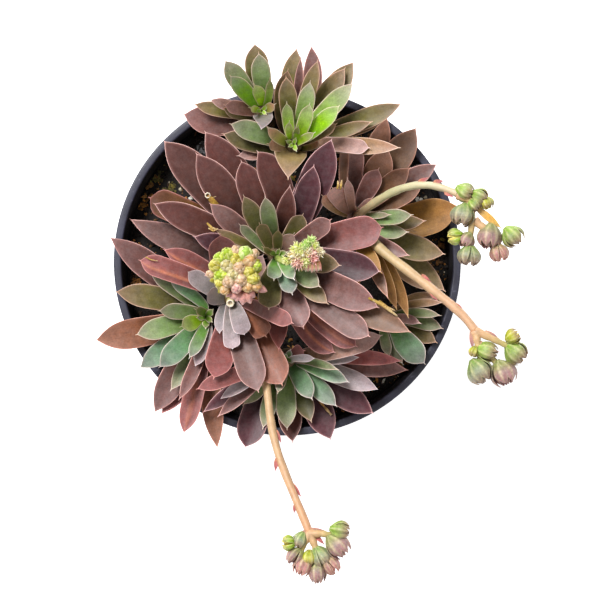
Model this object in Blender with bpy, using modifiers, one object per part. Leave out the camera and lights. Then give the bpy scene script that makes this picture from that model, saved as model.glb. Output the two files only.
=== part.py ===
"""A clump of echeveria with five flower stalks, in a round nursery pot.

Units are metres with +Z up. The origin is the middle of the pot's underside. The tables give sizes in mm.
"""

from math import acos, atan2, cos, pi, sin

import bmesh
import bpy
import numpy as np
from mathutils import Vector, noise

MM = 0.001

# Pot
POT_HEIGHT = 115.0
POT_FOOT_RADIUS = 54.0
POT_WALL_TOP_RADIUS = 72.4
POT_WALL = 1.6
POT_FLOOR = 2.4
POT_LIP_DEPTH = 9.0
DRAIN_HOLES = 6
DRAIN_HOLE_RADIUS = 4.5
DRAIN_CIRCLE_RADIUS = 38.0

# Fit between pieces that touch
JOINT_GAP = 0.3

# Sight line and rim: the plan below is as seen from this height above the rim
CAMERA_X, CAMERA_Y = 5.5, -16.4
CAMERA_ABOVE_RIM = 700.0
RIM_Z = 115.0
RIM_RADIUS = 75.0
RIM_WIDTH = 4.2
SOIL_DEPTH = 12.0

# Rules by which the leaves lie on one another
STEM_FOOT_RADIUS = 6.0
STEM_TOP_RADIUS = 3.4
STEM_FOOT_REACH = 60.5
LEAF_GAP = 0.6
LEAF_STEP = 0.4
LIFT_WEIGHT = 3.0
YOUNG_REACH = 22.0
CELL = 0.8
REACH = 142.0

# Middle of each rosette in plan, and the height of its lowest leaf above the soil
HEARTS = {
    "crown": (-4.4, 3.0, 6.0),
    "mid_left": (-23.9, -15.5, 12.0),
    "left": (-35.1, -23.7, 3.0),
    "front": (-0.1, -42.0, 3.0),
    "back": (2.7, 50.8, 8.0),
    "back_left": (-10.9, 65.2, 9.5),
    "right": (28.5, 20.5, 4.0),
    "front_right": (41.7, -25.9, 3.0),
}

# Outlines that differ from a plain leaf: where it is widest, its foot's share of the width, and how blunt its
# tip is
PLAIN_SHAPE = (0.64, 0.6, 2.5)
SHAPES = {
    "back_2": (0.6, 0.6, 2.6),
    "back_12": (0.6, 0.7, 2.4),
    "back_13": (0.8, 0.6, 3.6),
    "back_19": (0.65, 0.6, 2.8),
    "back_22": (0.7, 0.6, 3.0),
    "back_23": (0.25, 0.95, 1.35),
    "back_24": (0.6, 0.7, 2.4),
    "back_25": (0.75, 0.7, 3.2),
    "back_26": (0.75, 0.7, 3.4),
    "back_29": (0.6, 0.8, 2.4),
    "back_left_12": (0.6, 0.8, 2.6),
    "back_left_13": (0.3, 0.9, 1.3),
    "back_left_7": (0.7, 0.7, 2.8),
    "crown_1": (0.58, 0.65, 2.4),
    "crown_2": (0.84, 0.8, 4.5),
    "crown_3": (0.64, 0.65, 2.8),
    "crown_4": (0.62, 0.65, 3.2),
    "crown_5": (0.62, 0.65, 2.8),
    "crown_6": (0.66, 0.6, 2.6),
    "crown_10": (0.66, 0.65, 3.0),
    "crown_11": (0.66, 0.65, 3.0),
    "crown_15": (0.5, 0.7, 2.2),
    "crown_16": (0.6, 0.7, 3.0),
    "crown_17": (0.72, 0.6, 4.6),
    "crown_18": (0.66, 0.65, 3.0),
    "crown_19": (0.6, 0.7, 2.6),
    "crown_20": (0.75, 0.7, 3.6),
    "crown_21": (0.78, 0.7, 3.8),
    "crown_23": (0.76, 0.7, 3.8),
    "crown_24": (0.64, 0.65, 2.6),
    "crown_25": (0.72, 0.7, 3.0),
    "crown_26": (0.7, 0.7, 3.6),
    "crown_27": (0.74, 0.7, 3.6),
    "crown_28": (0.76, 0.65, 3.6),
    "crown_32": (0.75, 0.7, 3.6),
    "crown_33": (0.78, 0.7, 4.0),
    "crown_35": (0.7, 0.7, 3.2),
    "crown_36": (0.74, 0.8, 3.8),
    "front_2": (0.72, 0.6, 3.0),
    "front_14": (0.7, 0.6, 3.0),
    "front_20": (0.7, 0.6, 2.8),
    "front_22": (0.7, 0.7, 3.0),
    "left_2": (0.6, 0.6, 2.2),
    "left_7": (0.72, 0.6, 3.2),
    "left_15": (0.7, 0.6, 3.0),
    "mid_left_1": (0.72, 0.55, 2.8),
    "mid_left_2": (0.74, 0.6, 3.4),
    "mid_left_3": (0.7, 0.6, 2.8),
    "mid_left_4": (0.76, 0.55, 3.2),
    "mid_left_5": (0.82, 0.5, 4.6),
    "mid_left_7": (0.75, 0.7, 3.6),
    "mid_left_8": (0.7, 0.6, 3.2),
    "mid_left_10": (0.72, 0.6, 3.0),
    "mid_left_11": (0.7, 0.6, 3.6),
    "mid_left_12": (0.6, 0.6, 2.8),
    "mid_left_13": (0.84, 0.5, 4.6),
    "mid_left_14": (0.74, 0.5, 3.6),
    "right_3": (0.64, 0.6, 3.0),
    "right_8": (0.76, 0.6, 3.0),
    "right_20": (0.68, 0.6, 2.6),
    "right_23": (0.74, 0.6, 3.0),
    "right_24": (0.76, 0.5, 3.4),
    "right_25": (0.82, 0.5, 4.2),
}
# Leaves that are wide from the very foot
WIDE_FEET = ("back_23", "back_left_13")

# Dried bits: the leaf that comes just after, radius, and the two ends in plan, in mm
DRY = {
    "dry_straw": ("front_4", 0.6, (11.6, -57.4), (19.0, -66.0)),
    "dry_stub": ("crown_6", 1.7, (-29.6, 23.4), (-34.2, 28.6)),
}


# Every leaf as it lies: rosette and number, then in mm the tip, the last seen point toward its heart, and the
# width, then the tone. The plan is as seen at rim height from above. Lowest leaves come first.
LEAVES = (
    ("front_right_1", 64, -34.5, 50, -26.5, 7, "olive"),
    ("front_right_2", 66.5, -28.5, 49.5, -22.5, 6.5, "sage"),
    ("front_right_3", 49.5, -43.5, 43.5, -33.5, 5.2, "sage"),
    ("front_right_4", 59, -43.5, 44, -27.5, 10.8, "teal"),
    ("front_right_5", 44, -40.3, 40.7, -30.5, 4.6, "sage"),
    ("front_right_6", 66, -15, 51, -12.5, 3.6, "tan"),
    ("front_right_7", 66.5, -17.5, 48.5, -16.8, 3.6, "tan"),
    ("front_right_8", 65.5, -23, 50, -20, 4.2, "sage"),
    ("front_right_9", 57, -26.3, 48.5, -22.6, 4.2, "rose"),
    ("right_1", 43, 61.8, 36.5, 42, 9.8, "brown"),
    ("right_2", 55.3, 57.5, 37, 29, 13.5, "brown"),
    ("right_3", 73.3, 24, 43.5, 11.5, 15.4, "ochre"),
    ("right_4", 43.4, 48.5, 32.2, 24.6, 11.8, "brown"),
    ("right_5", 64.2, 42, 39, 26.7, 9.2, "mauve"),
    ("right_6", 58, 33, 35.7, 21, 8.2, "brown"),
    ("right_7", 52.5, 40.2, 34.8, 25.4, 9, "brown"),
    ("right_8", 30, 49.8, 28.6, 30, 7.2, "mauve"),
    ("right_9", 67.6, -12.2, 51, 3, 9.6, "olive"),
    ("right_10", 61.5, -12, 48.5, -7, 5.2, "tan"),
    ("right_11", 67.3, 3.5, 40, 8.2, 11.2, "olive"),
    ("right_12", 52, -23.2, 47, -6, 6.2, "ochre"),
    ("right_13", 47, -19.8, 41.3, -3.5, 6.2, "ochre"),
    ("right_14", 59, 17.7, 42, 15.5, 6.6, "olive"),
    ("right_15", 51.6, 12.9, 36.5, 12.5, 6.4, "sage"),
    ("right_16", 52, 3, 36.5, 7.3, 6.2, "mauve"),
    ("right_17", 53.4, 20.3, 35.7, 18.1, 6.8, "sage"),
    ("right_18", 43.2, -15, 37.5, -3, 5.4, "brown"),
    ("right_19", 40.4, -4.3, 30.5, 6, 7, "ochre"),
    ("right_20", 39.2, 39.8, 29.6, 22, 8.4, "mauve"),
    ("right_21", 44, 20.4, 34.8, 19.8, 3, "sage"),
    ("right_22", 36.4, 27.5, 31.4, 22.2, 3.4, "rose"),
    ("right_23", 25.2, 50.5, 22.6, 31, 4.2, "brown"),
    ("back_left_1", -44.4, 63.6, -21, 57, 12.4, "mauve"),
    ("back_left_2", -39.7, 68, -20.4, 63, 6.2, "olive"),
    ("back_left_3", -32.8, 69.9, -18.2, 65, 5, "rose"),
    ("back_left_4", -14, 93.7, -11.6, 70, 10.4, "olive"),
    ("back_left_5", -26.6, 86.6, -14.4, 68.6, 9, "sage"),
    ("back_left_6", -27.3, 66.2, -13, 62.6, 6.8, "moss"),
    ("back_left_7", -26.6, 67.6, -15, 65.2, 6.2, "mauve"),
    ("back_left_8", -12.3, 89.7, -9.6, 68.1, 8.4, "sage"),
    ("back_left_9", -24.2, 79.9, -14.5, 69.5, 7.4, "dew"),
    ("back_left_10", -14, 76.3, -9.6, 68.6, 5.4, "bright"),
    ("back_left_11", -7.5, 78.7, -7.2, 69, 3.6, "green"),
    ("left_1", -82.2, -33.6, -42, -26.7, 12.9, "rust"),
    ("left_2", -76, 10.3, -44.1, -13, 12, "mauve"),
    ("left_3", -73.4, -12.9, -42, -17, 10.4, "olive"),
    ("left_4", -54, -65.2, -38, -44, 9.6, "red"),
    ("left_5", -30.2, -79.8, -34.8, -46, 9.2, "rust"),
    ("left_6", -57, -64.5, -40, -33, 11.6, "mauve"),
    ("left_7", -44.6, -73.4, -36.4, -44, 8.8, "red"),
    ("left_8", -63.2, -45.5, -41, -29, 9.5, "teal"),
    ("left_9", -59, -4, -39, -17.7, 6.8, "sage"),
    ("left_10", -64.6, -31.2, -38, -23.7, 9.3, "sage"),
    ("left_11", -50, -54.9, -36.4, -34.5, 7.4, "sage"),
    ("left_12", -46.4, -58.8, -34.8, -37, 6, "mauve"),
    ("left_13", -54.8, -45, -38, -28, 9.5, "teal"),
    ("left_14", -50.4, -7.8, -35, -17.4, 5.4, "teal"),
    ("left_15", -39.6, -44.6, -32.5, -30, 5.2, "lilac"),
    ("left_16", -42, -41, -34.8, -27.6, 5.6, "mint"),
    ("left_17", -54.9, -21.1, -38, -21.4, 7, "sage"),
    ("left_18", -45.5, -27.8, -36.4, -24.4, 7, "bright"),
    ("left_19", -39.4, -20.4, -33.6, -22.6, 4, "green"),
    ("front_1", 2.3, -77.3, -0.4, -53, 10.4, "dark"),
    ("front_2", -18, -79.7, -9.6, -50, 12.6, "maroon"),
    ("front_3", 18.6, -76.2, 8, -50, 12.6, "maroon"),
    ("front_4", 10.2, -68.5, 2, -46.6, 8.2, "moss"),
    ("front_5", -10.4, -71.2, -5, -50, 7, "sage"),
    ("front_6", 36.7, -65, 9, -47.4, 11.4, "maroon"),
    ("front_7", 51.3, -46.5, 14, -42.5, 9.5, "mauve"),
    ("front_8", -18.6, -61.2, -7, -46.6, 7.8, "sage"),
    ("front_9", 38.7, -54.8, 9, -43.6, 8.6, "lilac"),
    ("front_10", 48.6, -42.6, 14, -39, 6.6, "red"),
    ("front_11", -35.8, -64.4, -12, -47, 6.5, "maroon"),
    ("front_12", -29.4, -66.2, -11, -49, 5.8, "mauve"),
    ("front_13", -28.5, -58.8, -10, -46, 5.4, "lilac"),
    ("front_14", -38.4, -54.6, -12, -44.5, 7, "red"),
    ("front_15", -0.1, -71.6, -1, -47.4, 8.8, "sage"),
    ("front_16", 20.9, -61.8, 4.4, -45.4, 8, "teal"),
    ("front_17", 10.5, -58.8, 2.2, -43.8, 8, "teal"),
    ("front_18", 26, -51.6, 5, -42.3, 6.6, "teal"),
    ("front_19", 30.6, -41.2, 10, -42.6, 5.0, "lilac"),
    ("front_20", 40.2, -31.8, 20, -38.5, 9.2, "rose"),
    ("front_21", 21.4, -46.2, 6, -41, 3.8, "sage"),
    ("front_22", 7, -38.3, 1.4, -40, 6.8, "red"),
    ("front_23", -4, -56, -1.6, -46.6, 4.8, "sage"),
    ("front_24", 11.4, -41.6, 3.4, -41.4, 3.4, "lilac"),
    ("mid_left_1", -31.6, -49.7, -25.6, -30, 12, "red"),
    ("mid_left_2", -2.4, -52.6, -18, -24, 14, "rust"),
    ("mid_left_3", -12.6, -55.4, -22.4, -26, 12.6, "mauve"),
    ("crown_1", -67.2, 18.2, -43, 4.5, 12, "mauve"),
    ("crown_2", -59, 27.6, -27, 13.5, 12.4, "curl"),
    ("crown_3", -35.2, 55.8, -12.6, 24.6, 14.8, "dark"),
    ("crown_4", -52.8, 51.8, -22.6, 20.3, 16, "dark"),
    ("crown_5", -39, 46.4, -18.2, 16, 14.4, "dark"),
    ("crown_6", -57, 25, -18.2, 8, 12, "dark"),
    ("crown_7", -39.9, 10.8, -18, 4, 9, "maroon"),
    ("crown_8", -33, 24.9, -13.9, 8, 9.2, "mauve"),
    ("crown_9", -31, 14, -13.9, 5.8, 4.4, "olive"),
    ("back_1", 4, 91.7, -0.4, 68, 9.6, "olive"),
    ("back_2", 0.2, 82.4, -3.8, 64, 8.8, "olive"),
    ("back_3", 10.4, 92.8, 13, 70, 8.4, "mauve"),
    ("back_4", 5.8, 87.6, 4.4, 70, 4, "mauve"),
    ("back_5", 28.3, 86, 13, 63.4, 11, "olive"),
    ("back_6", 24.6, 83.2, 10.7, 62, 9.6, "olive"),
    ("back_7", 13, 86.5, 6.8, 66.4, 7, "olive"),
    ("back_8", -0.5, 79.5, 1.4, 59, 8, "olive"),
    ("back_9", 44, 63.4, 22.7, 54, 6.2, "olive"),
    ("back_10", 48.8, 68, 15, 53.9, 9, "olive"),
    ("back_11", 36, 60.3, 16.3, 53.8, 5.8, "olive"),
    ("back_12", 48, 49.3, 24, 50.6, 7.4, "tan"),
    ("back_13", 34.9, 49.3, 13, 52, 6.6, "rose"),
    ("back_14", -20.9, 45.9, -5, 48, 6, "rose"),
    ("back_15", -27.3, 55.1, -6, 48, 8.4, "moss"),
    ("crown_10", -19.7, 43.2, -9.4, 16, 12.2, "dark"),
    ("crown_11", -12.6, 47.4, 2, 31, 13, "dark"),
    ("crown_12", 19, 52.5, 9, 24, 14.6, "maroon"),
    ("right_24", 15.4, 28.4, 22.4, 21.5, 5.8, "tan"),
    ("right_25", 19.6, 31.8, 25.2, 22.8, 8.0, "rose"),
    ("right_26", 26, 35.5, 27.6, 24, 4.2, "rose"),
    ("back_16", -24.1, 59.4, -2, 52, 8.8, "sage"),
    ("back_left_13", -11.2, 57.4, -10, 62, 8.6, "lilac"),
    ("back_left_12", -5.6, 67.9, -9.4, 65.4, 4.2, "fresh"),
    ("back_left_14", -15.8, 66.4, -13.2, 65.6, 3.2, "bright"),
    ("back_17", 9.8, 77.4, 5.5, 56, 7.6, "dew"),
    ("back_18", 28, 76.8, 8.9, 56.5, 8.6, "dew"),
    ("back_23", 0.4, 36.4, 0.8, 47.0, 14.2, "tan"),
    ("back_25", -7.9, 50.9, -1.5, 49.4, 5.2, "tan"),
    ("back_26", 13.2, 52.6, 7.4, 49.0, 5.6, "fresh"),
    ("back_22", 20.8, 59.4, 10, 52.6, 5.2, "olive"),
    ("back_24", -8.3, 57.8, -2.5, 51.6, 5.0, "fresh"),
    ("back_19", -0.2, 68.3, 0.4, 56, 5.2, "bright"),
    ("back_20", 22, 67, 6.8, 52.6, 7.2, "bright"),
    ("back_21", 9.6, 67.9, 6.2, 55, 6.2, "bright"),
    ("back_29", 11.4, 55.6, 6.4, 52.6, 3.6, "bright"),
    ("back_27", 0.9, 60.2, 0.2, 54.6, 3.4, "bright"),
    ("back_28", 4.6, 58.2, 3.2, 54.0, 2.8, "green"),
    ("crown_13", 11.4, 41.2, 6, 14, 11, "maroon"),
    ("crown_14", -18.6, 28.2, -9.6, 9.5, 8.2, "moss"),
    ("crown_15", 1.1, 32.6, -1.8, 11.6, 8.8, "dark"),
    ("crown_16", -9.5, 27.7, -6.2, 8.6, 7.2, "sage"),
    ("crown_17", 40.6, 14.8, 10, 8, 13.8, "red"),
    ("crown_18", 39.5, -4, 11.9, 1, 12.9, "maroon"),
    ("crown_19", -3.6, -37.5, -4.6, -20, 9.4, "wine"),
    ("crown_20", 20, -38.8, 4, -31, 9.2, "rust"),
    ("crown_21", 29.6, -36.2, 7, -22.5, 9.5, "rust"),
    ("crown_22", 52.6, -30, 20, -15.5, 12.2, "brown"),
    ("crown_23", 35, -31.8, 6.6, -14.4, 11, "mauve"),
    ("crown_24", 38.8, -19.4, 8.9, -6.9, 13.2, "mauve"),
    ("crown_25", 6.8, -28, -1.6, -9.9, 12, "mauve"),
    ("mid_left_5", -9.4, -31.8, -17.2, -21, 9.2, "rust"),
    ("mid_left_4", 2.0, -26.2, -12.5, -19.4, 7.2, "red"),
    ("mid_left_6", -52.8, 5.2, -31, -4, 8.6, "red"),
    ("mid_left_7", -63.2, 0.6, -32.5, -9.4, 9.5, "red"),
    ("mid_left_8", -28.8, 11.3, -26, -10, 12, "red"),
    ("mid_left_9", -10.7, 2.6, -19, -12, 9, "rose"),
    ("mid_left_10", -42.6, -4.4, -28.4, -15, 7.6, "lilac"),
    ("mid_left_11", -34.4, -13.6, -27.6, -16.4, 7.8, "lilac"),
    ("mid_left_12", -29.2, -30.6, -29.6, -22.4, 5.2, "lilac"),
    ("mid_left_13", -23.6, -37.3, -25.2, -25, 7.2, "lilac"),
    ("mid_left_14", -18.6, -31.2, -22.0, -21, 7.8, "lilac"),
    ("crown_26", 6.6, 20.2, -0.6, 6, 8, "moss"),
    ("crown_27", 18.4, 18, 1, 5.4, 8.2, "mauve"),
    ("crown_28", -7.9, -19.8, -6.9, -1.3, 10.2, "moss"),
    ("crown_29", 17.2, -17.7, -0.6, -2.6, 8, "olive"),
    ("crown_30", 22.4, -1.4, 1.4, 1.4, 9, "olive"),
    ("crown_31", 13.7, -10.4, -1, 0.2, 8.4, "sage"),
    ("crown_32", -20.2, 15.8, -9.6, 5, 4.6, "sage"),
    ("crown_33", -11.8, 16.2, -6.8, 5.4, 5.8, "moss"),
    ("crown_34", 2.6, 11.9, -2.6, 5, 6.4, "rose"),
    ("crown_35", 2, -13.4, -3, 0.2, 7.6, "teal"),
    ("crown_36", -5.7, -7.2, -5.2, 0.8, 6.4, "mint"),
    ("crown_37", -4, 13.6, -4.2, 5.4, 4.6, "moss"),
    ("crown_38", 2.8, -7.2, -2.6, 1.2, 5.4, "mint"),
    ("crown_39", -10.3, 6.2, -6, 2.6, 2.8, "moss"),
)

# Flower stalks: rosette, the leaf that lies over them, thickness at foot and end, how far the end stands
# above the foot, and the plan of the stalk from its foot, in mm.
STALKS = {
    "stalk_right_back": ("right", "back_left_1", 3.4, 2.8, 14.0,
        ((30, 19.8), (33.4, 22.4), (38, 26.2), (44, 29.8), (50, 32.3), (56, 33.5), (62, 33.5), (68, 32),
         (73.6, 29.2))),
    "stalk_front": ("mid_left", "mid_left_1", 3.4, 3.2, 12.0,
        ((-21, -21), (-14, -33), (-10, -44), (-8.6, -54), (-8, -64), (-6.4, -75), (-3.8, -84),
         (-0.6, -92), (2.6, -100), (5.6, -107), (8, -112.6), (9.6, -117))),
    "stalk_right_long": ("right", "crown_10", 4.2, 3.4, 10.0,
        ((30.6, 17), (34, 11.6), (38, 7.3), (43, 3), (49, -1.5), (57.2, -7.6), (65, -14), (70.4, -18),
         (75, -22), (78.6, -26), (81, -29.6))),
    "stalk_crown": ("crown", "", 2.6, 2.2, 7.0, ((-4.2, 1.6), (-2, -0.4), (2, 0), (5.4, 1.6))),
    "stalk_mid": ("mid_left", "", 3.4, 3.0, 42.0, ((-23.6, -13.2), (-23.2, -10), (-22.7, -7), (-22.4, -5))),
}

# Bracts along the stalks: stalk, then plan of root and tip, and width, in mm.
BRACTS = (
    ("stalk_front", -4.6, -73.0, -2.2, -79.2, 2.6),
    ("stalk_front", -4.8, -85.0, -5.2, -91.4, 2.8),
    ("stalk_front", 1.8, -95.6, 7.0, -102.6, 3.0),
    ("stalk_front", 3.4, -104.4, 2.8, -109.2, 2.4),
    ("stalk_right_long", 58.6, -5.6, 62.6, -9.4, 2.4),
    ("stalk_right_long", 61.6, -12.8, 65.4, -17.4, 2.6),
    ("stalk_right_long", 73.0, -18.2, 76.6, -21.6, 2.4),
    ("stalk_right_back", 57.2, 35.0, 61.4, 36.6, 2.4),
    ("stalk_right_back", 64.0, 35.0, 68.4, 34.9, 2.2),
    ("stalk_right_back", 68.0, 29.6, 72.6, 27.6, 2.2),
)

# Flower heads on branches: plan of each bud, its radius, and its height above the stalk's end, in mm.
BUDS = {
    "stalk_front": (
        (1.4, -121.0, 4.4, 3), (6.2, -119.8, 4.0, 6), (3.6, -126.6, 4.6, 2), (7.2, -131.0, 4.8, 0),
        (10.2, -126.6, 4.4, 6), (14.4, -126.0, 4.4, 4), (18.2, -130.6, 4.6, 0), (13.0, -134.8, 4.6, -1),
        (20.8, -115.8, 4.2, 4), (22.4, -122.0, 4.2, 3), (25.0, -117.6, 3.6, 1),
    ),
    "stalk_right_long": (
        (84.6, -37.6, 4.6, 4), (81.8, -45.6, 5.2, 0), (91.6, -47.2, 5.6, 0), (88.0, -41.0, 3.8, 3),
        (97.0, -32.6, 4.2, 5), (98.6, -39.2, 4.8, 2), (92.4, -32.0, 3.6, 3),
    ),
    "stalk_right_back": (
        (77.4, 30.6, 4.2, 5), (84.2, 26.8, 4.6, 4), (76.4, 20.6, 4.8, 3), (74.6, 10.8, 4.6, 2),
        (78.6, 4.2, 4.8, 0), (87.2, 9.6, 5.8, 4), (89.6, 3.6, 4.4, 1), (96.6, 11.6, 4.8, 2),
        (80.8, 24.2, 3.8, 5),
    ),
}

# Branches of those heads, as plan points from the stalk's end, in mm.
BRANCHES = {
    "stalk_front": (
        ((9.6, -117.4), (6.4, -121.4), (5.4, -127)), ((9.6, -117.4), (12.6, -122), (13, -130)),
        ((9.6, -117.4), (15, -116.6), (21, -118.4)),
    ),
    "stalk_right_long": (
        ((81, -30), (82.4, -35.6), (83, -42)), ((82.4, -35.6), (88.6, -41), (91, -45)),
        ((81, -30), (88, -32.4), (94, -36.4), (97.6, -37)),
    ),
    "stalk_right_back": (
        ((73.6, 28.8), (78.6, 26.4), (83, 25.6)), ((78.6, 26.4), (80.8, 18), (78.4, 10), (78.4, 5)),
        ((80.8, 18), (86, 12.6), (93.6, 10.6)),
    ),
}


def cells(x, y):
    """Cells of the height map under plan positions."""
    last = int(2 * REACH / CELL) - 1
    i = np.clip(((np.asarray(x) + REACH) / CELL).astype(int), 0, last)
    j = np.clip(((np.asarray(y) + REACH) / CELL).astype(int), 0, last)
    return i, j


def empty_map():
    """The height map before any leaf is laid: soil inside the pot, the rim round it, nothing beyond."""
    n = int(2 * REACH / CELL)
    axis = (np.arange(n) + 0.5) * CELL - REACH
    x, y = np.meshgrid(axis, axis, indexing="ij")
    r = np.hypot(x, y)
    top = np.full((n, n), -200.0)
    top[r < RIM_RADIUS] = -SOIL_DEPTH
    top[(r > RIM_RADIUS - RIM_WIDTH - 1.0) & (r < RIM_RADIUS + 0.8)] = 0.0
    return top


def outline(s, widest, foot_share, bluntness):
    """Half width along a leaf as a share of the greatest."""
    inner = foot_share + (1 - foot_share) * np.sin(np.pi / 2 * np.clip(s / widest, 0, 1))
    outer = 1 - np.clip((s - widest) / (1 - widest), 0, 1) ** bluntness
    return np.where(s < widest, inner, outer)


def evenly(line, s):
    """Points of a polyline at shares of its plan length."""
    steps = np.hypot(*np.diff(line[:, :2], axis=0).T)
    along = np.concatenate([[0], np.cumsum(steps)])
    along /= along[-1]
    return np.stack([np.interp(s, along, column) for column in line.T], 1)


def bent(first, middle, last, s):
    """A line from first to last that bends toward middle."""
    t = np.linspace(0, 1, 60)[:, None]
    return evenly((1 - t) ** 2 * first + 2 * t * (1 - t) * middle + t**2 * last, s)


def sideways(line):
    """Unit vector to the left of a plan line, at each of its points."""
    run = np.gradient(line[:, :2], axis=0)
    run /= np.hypot(*run.T)[:, None]
    return np.stack([-run[:, 1], run[:, 0]], 1)


def tip_rise(reach):
    """How far a leaf's tip stands above its foot, from its plan length: young, short ones stand up."""
    return 2.5 + 15.0 * np.exp(-((reach / 26.0) ** 2))


def section(u, half, thick):
    """Upper and lower side of a leaf's cross-section at u, from -1 to 1, above its middle line."""
    cup = 0.16 * half * u**2
    return cup, cup - thick * (1 - u**2) ** 0.7


def rosette_of(name):
    return name.rsplit("_", 1)[0]


def leaf_plan(row):
    """A leaf's plan: middle line, side direction, half width, thickness and rise at even steps."""
    name, tip_x, tip_y, foot_x, foot_y, width, tone = row
    heart = np.array(HEARTS[rosette_of(name)][:2])
    foot, tip = np.array([foot_x, foot_y]), np.array([tip_x, tip_y])
    reach = np.hypot(*(tip - heart))
    start = 0.6 if reach < YOUNG_REACH else STEM_TOP_RADIUS - 0.6
    first = heart + (foot - heart) / np.hypot(*(foot - heart)) * start
    s = np.linspace(0, 1, 31)
    line = bent(first, foot, tip, s)
    half = 0.5 * width * outline(s, *SHAPES.get(name, PLAIN_SHAPE))
    if name not in WIDE_FEET:
        half = np.minimum(half, 1.1 + 0.45 * s * np.hypot(*(tip - first)))
    thick = (0.5 + 0.13 * width) * (0.6 + 0.4 * np.minimum(s / 0.3, 1)) * (1 - 0.75 * s**4)
    rise = tip_rise(reach) * (0.35 * s + 0.65 * s**1.7)
    return dict(name=name, tone=tone, heart=heart, s=s, line=line, half=half, thick=thick, rise=rise)


def stalk_plan(name):
    """A flower stalk's plan, as leaf_plan gives a leaf's."""
    rosette, _, foot_size, end_size, rise, points = STALKS[name]
    s = np.linspace(0, 1, 31)
    line = np.array(points, float)
    for _ in range(2):
        line = np.concatenate([line[:1], 0.5 * (line[:-1] + line[1:]), line[-1:]])
    radius = 0.5 * (foot_size + (end_size - foot_size) * s)
    heart = np.array(HEARTS[rosette][:2])
    made = dict(name=name, heart=heart, s=s, line=evenly(line, s))
    made.update(half=radius, thick=2 * radius, rise=rise * s**1.3)
    return made


def dry_plan(name):
    """The plan of a dried bit."""
    _, radius, foot, end = DRY[name]
    s = np.linspace(0, 1, 31)
    line = evenly(np.array([foot, end], float), s)
    flat = np.full(31, radius)
    far = np.array([500.0, 500.0])
    return dict(name=name, heart=far, s=s, line=line, half=flat, thick=2 * flat, rise=0 * s)


def straight_lift(s, need, floor):
    """The lowest lift a + b s that clears every need, with a at least floor and b at least 0."""
    best = (max(need.max(), floor), 0.0)
    score = LIFT_WEIGHT * best[0]
    starts = [(si, ni) for si, ni in zip(s, need)] + [(0.0, floor)]
    for si, ni in starts:
        ahead = s > si
        if not ahead.any():
            continue
        b = max(0.0, ((need[ahead] - ni) / (s[ahead] - si)).max())
        a = max(floor, (need - b * s).max())
        if LIFT_WEIGHT * a + 0.5 * b < score:
            best, score = (a, b), LIFT_WEIGHT * a + 0.5 * b
    return best


def lift_over(s, need, floor):
    """Lift along a leaf that clears what lies below: low at the stem, an arch, then a straight rise."""
    arch = 1 - (1 - s) ** 4
    found = []
    for k in np.arange(0, 14.1, 1.0):
        a, b = straight_lift(s, need - k * arch, floor)
        found.append((LIFT_WEIGHT * a + 0.5 * b + 0.8 * k, a, b, k))
    _, a, b, k = min(found)
    return a, a + b * s + k * arch


def lay(piece, top, floor):
    """Lays one leaf or stalk on the height map, stamps it in and returns the height of its foot."""
    u = np.linspace(-1, 1, 9)
    side = sideways(piece["line"])
    x = piece["line"][:, 0, None] + side[:, 0, None] * piece["half"][:, None] * u
    y = piece["line"][:, 1, None] + side[:, 1, None] * piece["half"][:, None] * u
    upper, lower = section(u, piece["half"][:, None], piece["thick"][:, None])
    i, j = cells(x, y)
    clear = top[i, j] + LEAF_GAP - lower - piece["rise"][:, None]
    clear[np.hypot(x - piece["heart"][0], y - piece["heart"][1]) < STEM_FOOT_RADIUS] = -200.0
    foot, lift = lift_over(piece["s"], clear.max(axis=1), floor)
    piece["height"] = lift + piece["rise"]
    piece["side"] = side
    np.maximum.at(top, (i, j), piece["height"][:, None] + upper)
    return foot


def settle():
    """Lays all pieces from the lowest up. Returns them, each stem's top and the height map."""
    top = empty_map()
    base = {name: up - SOIL_DEPTH for name, (_, _, up) in HEARTS.items()}
    laid = {}
    for row in LEAVES:
        for name, (rosette, before, *_) in STALKS.items():
            if before == row[0]:
                laid[name] = stalk_plan(name)
                lay(laid[name], top, base[rosette])
        for name, (before, *_) in DRY.items():
            if before == row[0]:
                laid[name] = dry_plan(name)
                lay(laid[name], top, -SOIL_DEPTH)
        leaf = leaf_plan(row)
        base[rosette_of(row[0])] = lay(leaf, top, base[rosette_of(row[0])]) + LEAF_STEP
        laid[row[0]] = leaf
    for name, (rosette, before, *_) in STALKS.items():
        if not before:
            laid[name] = stalk_plan(name)
            lay(laid[name], top, base[rosette] + 3.0)
    return laid, base, top


def in_sight(plan_x, plan_y, height):
    """The point in metres that is seen at this plan position, at a height above the rim; both in mm."""
    near = (CAMERA_ABOVE_RIM - height) / CAMERA_ABOVE_RIM
    x = CAMERA_X + (plan_x - CAMERA_X) * near
    y = CAMERA_Y + (plan_y - CAMERA_Y) * near
    return Vector((x * MM, y * MM, (RIM_Z + height) * MM))


# Leaf colours, linear
LEAF_COLOURS = {
    "olive": (0.20, 0.18, 0.07),
    "sage": (0.26, 0.35, 0.22),
    "teal": (0.17, 0.35, 0.22),
    "tan": (0.43, 0.30, 0.19),
    "rose": (0.43, 0.24, 0.27),
    "brown": (0.18, 0.10, 0.06),
    "rust": (0.30, 0.11, 0.04),
    "mauve": (0.17, 0.08, 0.09),
    "green": (0.14, 0.30, 0.04),
    "moss": (0.11, 0.14, 0.05),
    "red": (0.30, 0.07, 0.07),
    "bright": (0.24, 0.48, 0.03),
    "maroon": (0.09, 0.03, 0.035),
    "dark": (0.10, 0.05, 0.04),
    "lilac": (0.33, 0.28, 0.31),
    "ochre": (0.33, 0.19, 0.05),
    "wine": (0.06, 0.01, 0.01),
    "curl": (0.17, 0.08, 0.02),
    "mint": (0.26, 0.46, 0.18),
    "fresh": (0.33, 0.34, 0.07),
    "dew": (0.27, 0.36, 0.12),
}

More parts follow.
